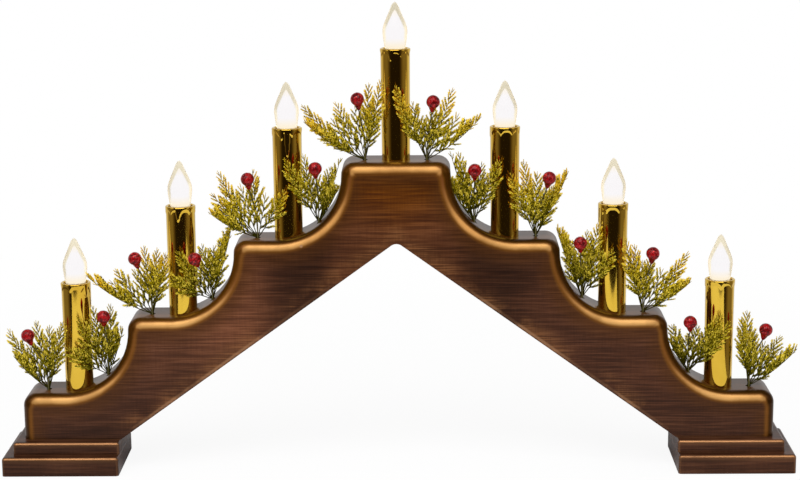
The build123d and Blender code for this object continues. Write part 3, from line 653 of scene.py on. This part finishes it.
def makeFlameShell():
    shell = Finish("frostedFlame")
    frost = shell.noise(shell.place(), flameLook["frost"], flameLook["frostDetail"])
    return shell.surface(
        Base_Color=flameLook["shell"], Roughness=flameLook["rough"] + frost * flameLook["frostRough"],
        Transmission_Weight=1.0, IOR=flameLook["bend"],
        Emission_Color=flameLook["rim"], Emission_Strength=flameLook["rimPower"],
        Normal=shell.bump(frost, flameLook["relief"], flameLook["depth"]),
    )


def makeFlameGlow(top):
    glow = Finish("flameGlow")
    share = (glow.axis("Object", "Z") - top) / flameShape["height"]
    warm, white = flameLook["warm"], flameLook["glow"]
    colour = glow.ramp(share, list(zip(flameLook["stops"], (warm, white, white, warm))))
    return glow.surface(
        Base_Color=flameLook["black"], Specular_IOR_Level=0.0,
        Emission_Color=colour, Emission_Strength=flameLook["power"],
    )


def flameRows(inset):  # radius and height pairs of the outer wall, or of the inner one when inset is 1
    shares, radii = (np.array(part) for part in zip(*flameShape["outline"]))
    steps = np.linspace(0, 1, flameShape["rows"]) ** flameShape["crowding"]
    smoothRadius = np.interp(steps, shares, radii * millimetre)
    for turn in range(flameShape["smoothing"]):
        middle = (smoothRadius[:-2] + smoothRadius[1:-1] * 2 + smoothRadius[2:]) / 4
        smoothRadius = np.concatenate([smoothRadius[:1], middle, smoothRadius[-1:]])
    height = flameShape["height"] - flameShape["tipRoom"] * inset
    rows = []
    for share, radius in zip(steps, smoothRadius):
        thin = np.interp(share, *zip(*flameShape["wall"])) * millimetre * inset
        rows.append((max(radius - thin, 0.0), share * height))
    return rows


def lathe(rows, middle, name):
    grid, angle, row = gridRound(rows, flameShape["around"])
    table = np.array(rows)
    return wrapRound(grid, table[row, 0], angle, table[row, 1], middle, name)


def makeFlame(number, shellFinish):
    x, tread = candlePlace(number)
    top = tread + arch["sleeveLength"]
    innerRows = flameRows(1)
    shell = lathe(innerRows[:1] + flameRows(0), (x, 0, top), "flameShell")
    paint(shell, shellFinish)
    inner = lathe(innerRows, (x, 0, top), "flameGlow")
    paint(inner, makeFlameGlow(top))
    flame = joinUp([shell, inner], "flameLamp" + str(number))
    cleanUp()
    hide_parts("flame_" + str(number))
    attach(flame, "lamp_" + str(number))


shellFinish = makeFlameShell()
for number in candleNumbers:
    makeFlame(number, shellFinish)
print("flames made")

# plated gold candle sleeves: a tapered tube whose lip is a thin scalloped coat of wax, with a few long runs
goldLook = {
    "gold": (0.72, 0.47, 0.055, 1), "deep": (0.62, 0.37, 0.035, 1), "rough": 0.045, "cloudRough": 0.05,
    "cloud": 60.0, "stretch": (1, 1, 0.35), "fade": (0.35, 0.75),
}
sleeveShape = {
    "base": 0.0079, "top": 0.00825, "bore": 0.0068, "around": 150, "plainRows": 20, "waxRows": 120,
    "rimRows": 10,
    "sunk": 0.001, "rim": 0.0006, "boreRows": (0.0008, 0.0024), "waxZone": 0.022, "wax": 0.00028,
    "waxLine": 0.0020,
    "scallop": 0.0024, "scallops": (7, 8, 9), "sharpness": 1.6, "soft": 0.0018,
    "runs": 2, "runLength": (0.005, 0.016), "runWidth": (0.15, 0.22), "seed": 40,
}


def makeGold():
    gold = Finish("platedGold")
    cloud = gold.noise(gold.place(goldLook["stretch"]), goldLook["cloud"])
    colour = gold.mix(gold.smooth(cloud, *goldLook["fade"]), goldLook["gold"], goldLook["deep"])
    rough = goldLook["rough"] + cloud * goldLook["cloudRough"]
    return gold.surface(Base_Color=colour, Metallic=1.0, Roughness=rough)


def sleeveProfile(height):  # radius and height pairs, up the outside, over the lip and down the bore
    rows = []
    base, top, bore, rim = (sleeveShape[key] for key in ("base", "top", "bore", "rim"))
    middle = height - sleeveShape["waxZone"]
    heights = list(np.linspace(-sleeveShape["sunk"], middle, sleeveShape["plainRows"], endpoint=False))
    heights = heights + list(np.linspace(middle, height - rim, sleeveShape["waxRows"]))
    for z in heights:
        rows.append((base + (top - base) * max(z, 0) / height, z))
    waxTop = top + sleeveShape["wax"]
    for turn in range(1, sleeveShape["rimRows"]):
        angle = math.pi * turn / sleeveShape["rimRows"]
        radius = (waxTop + bore) / 2 + (waxTop - bore) / 2 * math.cos(angle)
        rows.append((radius, height - rim + rim * math.sin(angle)))
    for down in sleeveShape["boreRows"]:
        rows.append((bore, height - down))
    return rows


def makeSleeve(number, finish):
    luck = random.Random(sleeveShape["seed"] + number)
    x, tread = candlePlace(number)
    height = arch["sleeveLength"]
    rows = sleeveProfile(height)
    grid, angle, row = gridRound(rows, sleeveShape["around"])
    table = np.array(rows)
    radius, z = table[row, 0], table[row, 1]
    scallops = luck.choice(sleeveShape["scallops"])
    wave = np.abs(np.sin(angle * scallops / 2 + luck.uniform(0, 3)))
    depth = sleeveShape["waxLine"] + sleeveShape["scallop"] * (1 - wave) ** sleeveShape["sharpness"]
    for run in range(sleeveShape["runs"]):
        turn = luck.uniform(0, 2 * math.pi)
        length = luck.uniform(*sleeveShape["runLength"])
        width = luck.uniform(*sleeveShape["runWidth"])
        apart = np.abs((angle - turn + math.pi) % (2 * math.pi) - math.pi)
        depth = np.maximum(depth, length * np.sqrt(np.clip(1 - (apart / width) ** 2, 0, 1)))
    outside = row < sleeveShape["plainRows"] + sleeveShape["waxRows"]
    below = height - depth - z
    coat = softStep(0.5 - below / sleeveShape["soft"])
    radius = radius + np.where(outside, coat * sleeveShape["wax"], 0)
    sleeve = wrapRound(grid, radius, angle, z, (x, 0, tread), "goldSleeve" + str(number))
    paint(sleeve, finish)
    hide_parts("candle_sleeve_" + str(number))
    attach(sleeve, "arch")


goldFinish = makeGold()
for number in candleNumbers:
    makeSleeve(number, goldFinish)
print("sleeves made")

# evergreen sprigs: sprays that carry flat branchlets, which carry scale leaves
sprigShape = {
    "reach": 0.040, "offset": 0.0173, "forward": 0.002, "stem": 0.00030, "stemTip": 0.00016, "stemSteps": 8,
    "sagOut": 0.06, "sagDown": 0.12, "sagDepth": 0.0008, "filler": 0.72, "fillerReach": (0.34, 0.44),
    "fillerDepth": 0.002, "toneStart": 0.08, "toneReach": 1.05, "toneGain": 1.35,
}
# room that the leaves leave round the candles and the lamps, as far up as the lamps move, and over the wood
sprigRoom = {
    "sleeve": 0.0094, "flame": 0.0077, "lip": 0.0005, "tread": 0.001, "lampTop": 0.056,
    "woodFront": 0.0004, "woodTop": 0.0005, "least": 1e-6,
}
frond = {
    "bare": 0.21, "end": 0.98, "crowding": 0.88, "jitter": 0.2, "first": 0.1, "last": 0.99,
    "twigs": 19, "fewest": 7, "wide": 0.0047, "tip": 0.0007, "widest": 0.85, "bulge": 0.8, "angle": 31,
    "angleVary": 9, "rootTurn": 1.1,
    "tipTurn": 0.45, "facing": 0.18, "lift": 0.22, "vary": (0.80, 1.08),
    "leanShare": 0.8, "leanSize": 1.25, "leanOther": 0.5, "tangent": 0.02,
}
twig = {
    "leaves": 22, "stalk": (0.034, 0.014), "stalkLength": 0.95, "stalkMiddle": 0.47, "stalkSpeck": 0.25,
    "first": 0.10, "span": 0.80, "leaf": 0.22, "taper": 0.30, "vary": (0.8, 1.2), "turn": (22, 40),
    "tilt": 22,
    "tipPlace": 0.86, "tipLeaf": 0.20, "tipSpeck": 0.8, "seeds": (3, 5, 8, 13),
}
leafShape = {"shoulder": 0.55, "point": 0.8, "wide": 0.40, "thick": 0.26}
pegShape = {"radius1": 0.0015, "radius2": 0.0004, "depth": 0.005}
pegSunk = 0.0005
# tips of each sprig's five sprays in hundredths of the reach: across, up and forward
sprigTips = {
    (1, -1): [(-54, 88, 5), (-47, 52, 12), (-16, 98, -5), (6, 94, 10), (28, 104, 24)],
    (1, 1): [(-18, 102, 12), (6, 100, -3), (24, 68, 6), (-36, 90, 28), (-50, 46, 36)],
    (2, -1): [(-90, 60, 18), (-50, 64, 2), (-10, 96, -3), (10, 95, 10), (24, 92, 22)],
    (2, 1): [(28, 100, -2), (3, 76, 6), (-12, 80, 14), (-45, 74, 30), (-55, 38, 38)],
    (3, -1): [(-54, 94, 2), (-62, 64, 10), (-68, 40, 16), (-6, 95, -2), (40, 72, 32)],
    (3, 1): [(-44, 94, 30), (-20, 98, 16), (18, 78, 6), (31, 88, -4), (28, 50, 14)],
    (4, -1): [(-86, 80, 20), (-84, 58, 26), (-40, 80, 2), (6, 105, -4), (24, 114, 22)],
    (4, 1): [(-43, 106, 30), (-20, 82, 14), (36, 98, -3), (10, 72, 8), (76, 62, 16)],
    (5, -1): [(-33, 97, -3), (-22, 98, 6), (-36, 58, 14), (10, 84, 14), (34, 90, 30)],
    (5, 1): [(-18, 110, 16), (-36, 92, 28), (2, 90, 2), (26, 72, 10), (46, 92, -2)],
    (6, -1): [(-37, 100, -3), (-20, 74, 10), (6, 95, 5), (22, 109, 18), (40, 74, 32)],
    (6, 1): [(-14, 97, 12), (-28, 109, 24), (10, 76, 6), (62, 84, -2), (66, 46, 14)],
    (7, -1): [(-24, 66, -2), (-28, 46, 10), (10, 68, 8), (40, 90, 30), (52, 80, 36)],
    (7, 1): [(-14, 102, 12), (-4, 108, -3), (6, 80, 6), (42, 72, 2), (66, 57, 12)],
}
# sprigs with less gold at their tips than the rest; on the inward sprigs of candles 2, 3, 5 and 6 the lower
# share is painted shade
sprigGoldAndShade = {
    (1, -1): 0.80, (1, 1): 0.75, (2, 1): 0.90, (3, 1): 0.85, (5, -1): 0.90, (6, -1): 0.95,
    (7, -1): 0.75, (7, 1): 0.80,
}
sprigLook = {
    "stem": (0.045, 0.042, 0.001, 1), "green": (0.225, 0.188, 0.001, 1), "olive": (0.52, 0.375, 0.002, 1),
    "gold": (0.86, 0.50, 0.012, 1), "dark": (0.030, 0.026, 0.0005, 1), "pale": (1.0, 0.78, 0.08, 1),
}
sprigFades = {
    "lightLeaf": (0.22, 0.38), "paleLeaf": (0.70, 0.82), "leafy": (0.05, 0.25),
    "spark": (0.78, 0.86), "sparkling": (0.10, 0.40),
}
sprigGlitter = {
    "flakes": 1500.0, "patches": 260.0, "patch": 0.3, "dark": 0.85, "pale": 0.80, "spark": 0.6,
    "metal": 0.4,
    "rough": 0.55, "sparkRough": 0.25, "specular": 0.03, "relief": 0.30, "depth": 0.0005,
}


def glittered(finish, look, colour, spark, relief):
    return finish.surface(
        Base_Color=colour, Metallic=spark * look["metal"],
        Roughness=look["rough"] - spark * look["sparkRough"],
        Specular_IOR_Level=look["specular"], Normal=finish.bump(relief, look["relief"], look["depth"]),
    )


def makeEvergreen():
    leaf = Finish("glitteredEvergreen", fades=sprigFades)
    tone = leaf.node("ShaderNodeAttribute", {"attribute_name": "tone"}, out="Fac")
    speck = leaf.node("ShaderNodeAttribute", {"attribute_name": "speck"}, out="Fac")
    flake = leaf.flakes(sprigGlitter["flakes"])
    patch = leaf.noise(leaf.place(), sprigGlitter["patches"])
    # darker toward the root: the stems' colour, with painted shade on the inner leaves; gold toward the tips
    colour = leaf.ramp(tone + (patch - 0.5) * sprigGlitter["patch"], [
        (0.0, sprigLook["stem"]), (0.28, sprigLook["green"]),
        (0.70, sprigLook["olive"]), (1.0, sprigLook["gold"]),
    ])
    dark = 1 - leaf.fade(speck, "lightLeaf")
    colour = leaf.mix(dark * sprigGlitter["dark"], colour, sprigLook["dark"])
    pale = leaf.fade(speck, "paleLeaf") * leaf.fade(tone, "leafy")
    colour = leaf.mix(pale * sprigGlitter["pale"], colour, sprigLook["pale"])
    spark = leaf.fade(flake, "spark") * leaf.fade(tone, "sparkling")
    colour = leaf.mix(spark * sprigGlitter["spark"], colour, sprigLook["pale"])
    return glittered(leaf, sprigGlitter, colour, spark, flake)


def makeLeaf():  # one scale leaf, 1 long, pointed and flattened
    deselectAll()
    bpy.ops.mesh.primitive_uv_sphere_add(segments=4, ring_count=3, radius=0.5)
    leaf = bpy.context.object
    bpy.ops.object.mode_set(mode="EDIT")
    bpy.ops.mesh.select_all(action="SELECT")
    bpy.ops.transform.rotate(value=math.pi / 2, orient_axis="Y", center_override=(0, 0, 0))
    bpy.ops.object.mode_set(mode="OBJECT")
    points = meshPoints(leaf.data)
    along = points[:, 0] + 0.5
    shoulder = leafShape["shoulder"]
    point = np.clip((1.0 - along) / (1.0 - shoulder), 0, 1) * leafShape["point"]
    slim = np.where(along > shoulder, point + (1 - leafShape["point"]) * (1 - along), 1.0)
    wide, thick = points[:, 1] * leafShape["wide"] * slim, points[:, 2] * leafShape["thick"] * slim
    setPoints(leaf.data, np.stack([along, wide, thick], axis=1))
    return leaf


def makeTwig(seed, leaf):  # one flat branchlet, 1 long, with scale leaves on both sides
    luck = random.Random(seed)

    def addLeaf(speck, matrix):  # a leaf has one brightness all over
        copy = linkedCopy(leaf)
        pointValues(copy, "speck", np.full(len(copy.data.vertices), speck))
        copy.matrix_world = matrix
        bits.append(copy)

    deselectAll()
    bpy.ops.mesh.primitive_cone_add(
        vertices=5, radius1=twig["stalk"][0], radius2=twig["stalk"][1], depth=twig["stalkLength"],
        location=(twig["stalkMiddle"], 0, 0),
    )
    stalk = bpy.context.object
    stalk.rotation_euler = (0, math.pi / 2, 0)
    pointValues(stalk, "speck", np.full(len(stalk.data.vertices), twig["stalkSpeck"]))
    bits = [stalk]
    count = twig["leaves"]
    for place in range(count):
        share = twig["first"] + twig["span"] * place / (count - 1)
        side = 1 if place % 2 else -1
        size = twig["leaf"] * (1 - twig["taper"] * share) * luck.uniform(*twig["vary"])
        speck = luck.uniform(0, 1)
        turn = Matrix.Rotation(side * math.radians(luck.uniform(*twig["turn"])), 4, "Z")
        tilt = Matrix.Rotation(math.radians(luck.uniform(-twig["tilt"], twig["tilt"])), 4, "Y")
        addLeaf(speck, Matrix.Translation((share, 0, 0)) @ turn @ tilt @ Matrix.Scale(size, 4))
    tipPlace = Matrix.Translation((twig["tipPlace"], 0, 0))
    addLeaf(twig["tipSpeck"], tipPlace @ Matrix.Scale(twig["tipLeaf"], 4))
    bpy.context.view_layer.update()
    return joinUp(bits, "twig" + str(seed))


def insideWood(point):
    behindFront = abs(point.y) < arch["halfDepth"] + sprigRoom["woodFront"]
    return behindFront and point.z < woodHeight(point.x) + sprigRoom["woodTop"]


def keepClear(points):  # leaves that would touch a candle or a lamp are pressed outwards
    for number in candleNumbers:
        x, tread = candlePlace(number)
        top = tread + arch["sleeveLength"]
        axis = np.array([x, 0.0])
        off = points[:, :2] - axis
        z = points[:, 2]
        far = np.maximum(np.hypot(off[:, 0], off[:, 1]), sprigRoom["least"])
        room = np.where(z < top + sprigRoom["lip"], sprigRoom["sleeve"], sprigRoom["flame"])
        inside = (far < room) & (z > tread - sprigRoom["tread"]) & (z < top + sprigRoom["lampTop"])
        grow = np.where(inside, room / far, 1.0)[:, None]
        points[:, :2] = np.where(inside[:, None], axis + off * grow, points[:, :2])
    return points


def reachPlace(across, up, forward):  # from hundredths of the reach to metres
    return Vector((across / 100, -forward / 100, up / 100)) * sprigShape["reach"]


def sprigRoot(number, side, forward):  # where a sprig or a wire leaves the wood
    pegX = candlePlace(number)[0] + side * sprigShape["offset"]
    return Vector((pegX, -forward, woodHeight(pegX)))


def newTube(name, radius, resolution):
    tube = bpy.data.curves.new(name, "CURVE")
    tube.dimensions = "3D"
    tube.bevel_depth = radius
    tube.bevel_resolution = resolution
    tube.use_fill_caps = True
    return tube


def tubeMesh(tube):
    thing = bpy.data.objects.new(tube.name, tube)
    scene.collection.objects.link(thing)
    pick(thing)
    bpy.ops.object.convert(target="MESH")
    return bpy.context.object


def addTwigs(root, at, count, lean, twigs, luck):  # branchlets along one spray, none of them in the wood
    bits = []
    for place in range(count):
        step = max(place + luck.uniform(-frond["jitter"], frond["jitter"]), 0) / (count - 1)
        share = frond["bare"] + (frond["end"] - frond["bare"]) * step ** frond["crowding"]
        share = min(max(share, frond["first"]), frond["last"])
        along = (at(min(share + frond["tangent"], 1.0)) - at(share - frond["tangent"])).normalized()
        loose = frond["facing"]
        facing = Vector((luck.uniform(-loose, loose), -1, luck.uniform(-loose, loose)))
        facing = (facing - along * facing.dot(along)).normalized()
        hand = 1 if place % 2 else -1
        if lean and luck.random() < frond["leanShare"]:
            hand = lean
        if place == count - 1:
            hand = 0
        angle = frond["angle"] + luck.uniform(-frond["angleVary"], frond["angleVary"])
        turn = math.radians(hand * angle * (frond["rootTurn"] - frond["tipTurn"] * share))
        wide = along * math.cos(turn) + facing.cross(along) * math.sin(turn)
        wide = (wide + facing * luck.uniform(-frond["lift"], frond["lift"])).normalized()
        bulge = math.sin(math.pi * share ** frond["widest"]) ** frond["bulge"]
        width = frond["wide"] * bulge + frond["tip"]
        size = width / math.sin(math.radians(frond["angle"])) * luck.uniform(*frond["vary"])
        if lean:
            size = size * (frond["leanSize"] if hand == lean else frond["leanOther"])
        start = root + at(share)
        if insideWood(start + wide * size) or insideWood(start + wide * size * 0.5):
            continue
        third = wide.cross(facing).normalized()
        up = third.cross(wide).normalized()
        basis = Matrix((wide, third, up)).transposed().to_4x4()
        copy = linkedCopy(luck.choice(twigs))
        copy.matrix_world = Matrix.Translation(start) @ basis @ Matrix.Scale(size, 4)
        bits.append(copy)
    return bits


def makeSprig(number, side, twigs, finish):
    luck = random.Random(number * 10 + side)
    root = sprigRoot(number, side, sprigShape["forward"])
    reach = sprigShape["reach"]
    tips = [reachPlace(*tip) for tip in sprigTips[(number, side)]]
    sprays = [(tip, 1.0) for tip in tips]
    order = sorted(tips, key=lambda tip: math.atan2(tip.x, tip.z))
    for first, second in zip(order, order[1:]):  # shorter sprays fill the fan between the long ones
        between = (first + second) * luck.uniform(*sprigShape["fillerReach"])
        between.y = between.y - luck.uniform(-sprigShape["fillerDepth"], sprigShape["fillerDepth"])
        sprays.append((between, sprigShape["filler"]))
    outermost = order[0 if side < 0 else -1]
    bits = []
    tube = newTube("sprayStems", 1.0, 1)
    for tip, weight in sprays:
        lean = side if tip is outermost else 0  # the outermost spray is leafy on one side
        sagDepth = luck.uniform(-sprigShape["sagDepth"], sprigShape["sagDepth"])
        sag = Vector((tip.x * sprigShape["sagOut"], sagDepth, -abs(tip.x) * sprigShape["sagDown"]))

        def at(share):
            return (tip * 0.5 + sag) * (2 * share * (1 - share)) + tip * share ** 2

        spline = tube.splines.new("POLY")
        spline.points.add(sprigShape["stemSteps"])
        for step in range(sprigShape["stemSteps"] + 1):
            share = step / sprigShape["stemSteps"]
            spline.points[step].co = (*(root + at(share)), 1)
            taper = (sprigShape["stemTip"] - sprigShape["stem"]) * share
            spline.points[step].radius = sprigShape["stem"] + taper
        count = max(frond["fewest"], round(frond["twigs"] * weight * tip.length / reach))
        bits = bits + addTwigs(root, at, count, lean, twigs, luck)
    bits.append(tubeMesh(tube))
    deselectAll()
    bpy.ops.mesh.primitive_cone_add(vertices=12, location=root - Vector((0, 0, pegSunk)), **pegShape)
    bits.append(bpy.context.object)
    word = "left" if side < 0 else "right"
    sprig = joinUp(bits, "sprig" + str(number) + word)
    points = keepClear(meshPoints(sprig.data))
    setPoints(sprig.data, points)
    tone = np.linalg.norm(points - np.array(root), axis=1) / (reach * sprigShape["toneReach"])
    # a lower gain darkens a sprig: less gold, and painted shade on the inward sprigs
    gain = sprigGoldAndShade.get((number, side), sprigShape["toneGain"])
    pointValues(sprig, "tone", np.clip((tone - sprigShape["toneStart"]) * gain, 0, 1))
    paint(sprig, finish)
    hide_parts("sprig_" + str(number) + "_" + word)
    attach(sprig, "arch")


evergreenFinish = makeEvergreen()
oneLeaf = makeLeaf()
twigKinds = [makeTwig(seed, oneLeaf) for seed in twig["seeds"]]
for number in candleNumbers:
    for side in (-1, 1):
        makeSprig(number, side, twigKinds, evergreenFinish)
for spare in [oneLeaf] + twigKinds:
    bpy.data.objects.remove(spare)
print("sprigs made")

# berries: glittered pears on bowed wires
berryShape = {
    "radius": 0.0038, "neck": 0.0046, "neckStart": 0.80, "neckSink": 0.62, "neckWire": 0.55, "slim": 0.10,
    "lumps": 3, "lump": 0.025, "crown": 0.00035, "crownWidth": 0.16,
    "wire": 0.00036, "step": 0.0026, "rise": 0.0026, "depth": 0.003, "bow": 0.007, "pull": 0.008,
    "wireSteps": 12,
}
# middles of the berries in hundredths of the sprigs' reach: across, up and forward
berryPlaces = {
    (1, -1): (-22, 86, 22), (1, 1): (2, 94, 34),
    (2, -1): (-19, 86, 20), (2, 1): (-19, 68, 42),
    (3, -1): (-11, 88, 20), (3, 1): (-2, 83, 34),
    (4, -1): (-9, 89, 20), (4, 1): (9, 86, 30),
    (5, -1): (0, 79, 32), (5, 1): (17, 88, 26),
    (6, -1): (-6, 86, 34), (6, 1): (10, 90, 24),
    (7, -1): (-3, 81, 30), (7, 1): (18, 89, 22),
}
berryLook = {
    "red": (0.330, 0.002, 0.004, 1), "deep": (0.075, 0.0005, 0.001, 1), "flake": (0.75, 0.06, 0.06, 1),
}
berryFades = {"patch": (0.35, 0.65), "spark": (0.80, 0.90)}
berryGlitter = {
    "flakes": 1700.0, "patches": 420.0, "spark": 0.6, "metal": 0.4, "rough": 0.22, "sparkRough": 0.08,
    "specular": 0.22, "relief": 0.30, "depth": 0.0005,
}
wireLook = {"colour": (0.070, 0.058, 0.004, 1), "rough": 0.55, "metal": 0.0, "grit": 1200.0, "relief": 0.2}


def makeBerryFinish():
    berry = Finish("glitteredBerry", fades=berryFades)
    flake = berry.flakes(berryGlitter["flakes"])
    patch = berry.noise(berry.place(), berryGlitter["patches"])
    colour = berry.mix(berry.fade(patch, "patch"), berryLook["deep"], berryLook["red"])
    spark = berry.fade(flake, "spark")
    colour = berry.mix(spark * berryGlitter["spark"], colour, berryLook["flake"])
    return glittered(berry, berryGlitter, colour, spark, flake + patch)


def makeBerry(middle, along, luck):  # a lumpy pear with its neck down the wire
    radius = berryShape["radius"]
    deselectAll()
    bpy.ops.mesh.primitive_uv_sphere_add(segments=28, ring_count=18, radius=radius)
    berry = bpy.context.object
    x, y, z = meshPoints(berry.data).T
    low = np.clip(-z / radius, 0, 1)
    sink = np.clip((low - berryShape["neckStart"]) / (1 - berryShape["neckStart"]), 0, 1)
    sink = sink * berryShape["neck"] * berryShape["neckSink"]
    slim = 1 - berryShape["slim"] * low ** 2
    ripple = np.sin(np.arctan2(y, x) * berryShape["lumps"] + luck.uniform(0, 6))
    slim = slim * (1 + berryShape["lump"] * ripple * (1 - low))
    crown = np.exp(-(np.hypot(x, y) / (radius * berryShape["crownWidth"])) ** 2) * (z > 0)
    setPoints(berry.data, np.stack([x * slim, y * slim, z - sink + crown * berryShape["crown"]], axis=1))
    bpy.ops.object.shade_smooth()
    berry.matrix_world = Matrix.Translation(middle) @ along.to_track_quat("Z", "Y").to_matrix().to_4x4()
    return berry


def wireRoute(root, knee, middle, along):  # the wire bows back into the sprig
    bow = Vector((0, berryShape["bow"], 0))
    neck = middle - along * (berryShape["radius"] + berryShape["neck"] * berryShape["neckWire"])
    rise = knee + bow + Vector((0, 0, berryShape["pull"]))
    reachUp = neck - along * berryShape["pull"] + bow
    route = [root - Vector((0, 0, berryShape["depth"]))]
    for step in range(berryShape["wireSteps"] + 1):
        share = step / berryShape["wireSteps"]
        rest = 1 - share
        lower = knee * rest ** 3 + rise * (3 * share * rest ** 2)
        route.append(lower + reachUp * (3 * share ** 2 * rest) + neck * share ** 3)
    return route


def berryPiece(thing, finish):
    paint(thing, finish)
    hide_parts("berries")
    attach(thing, "arch")


def makeBerries(finish, wireFinish):
    parts = []
    wires = newTube("berryWires", berryShape["wire"], 3)
    for (number, side), place in berryPlaces.items():
        luck = random.Random(number * 7 + side)
        root = sprigRoot(number, side, sprigShape["forward"] + berryShape["step"])
        middle = root + reachPlace(*place)
        knee = root + Vector((0, 0, berryShape["rise"]))
        along = (middle - knee).normalized()
        parts.append(makeBerry(middle, along, luck))
        route = wireRoute(root, knee, middle, along)
        spline = wires.splines.new("POLY")
        spline.points.add(len(route) - 1)
        for point, spot in zip(spline.points, route):
            point.co = (*spot, 1)
    berryPiece(joinUp(parts, "redBerries"), finish)
    stalks = joinUp([tubeMesh(wires)], "berryWires")
    bpy.ops.object.shade_smooth()
    berryPiece(stalks, wireFinish)


makeBerries(makeBerryFinish(), makePlain("berryStem", **wireLook))
print("berries made")
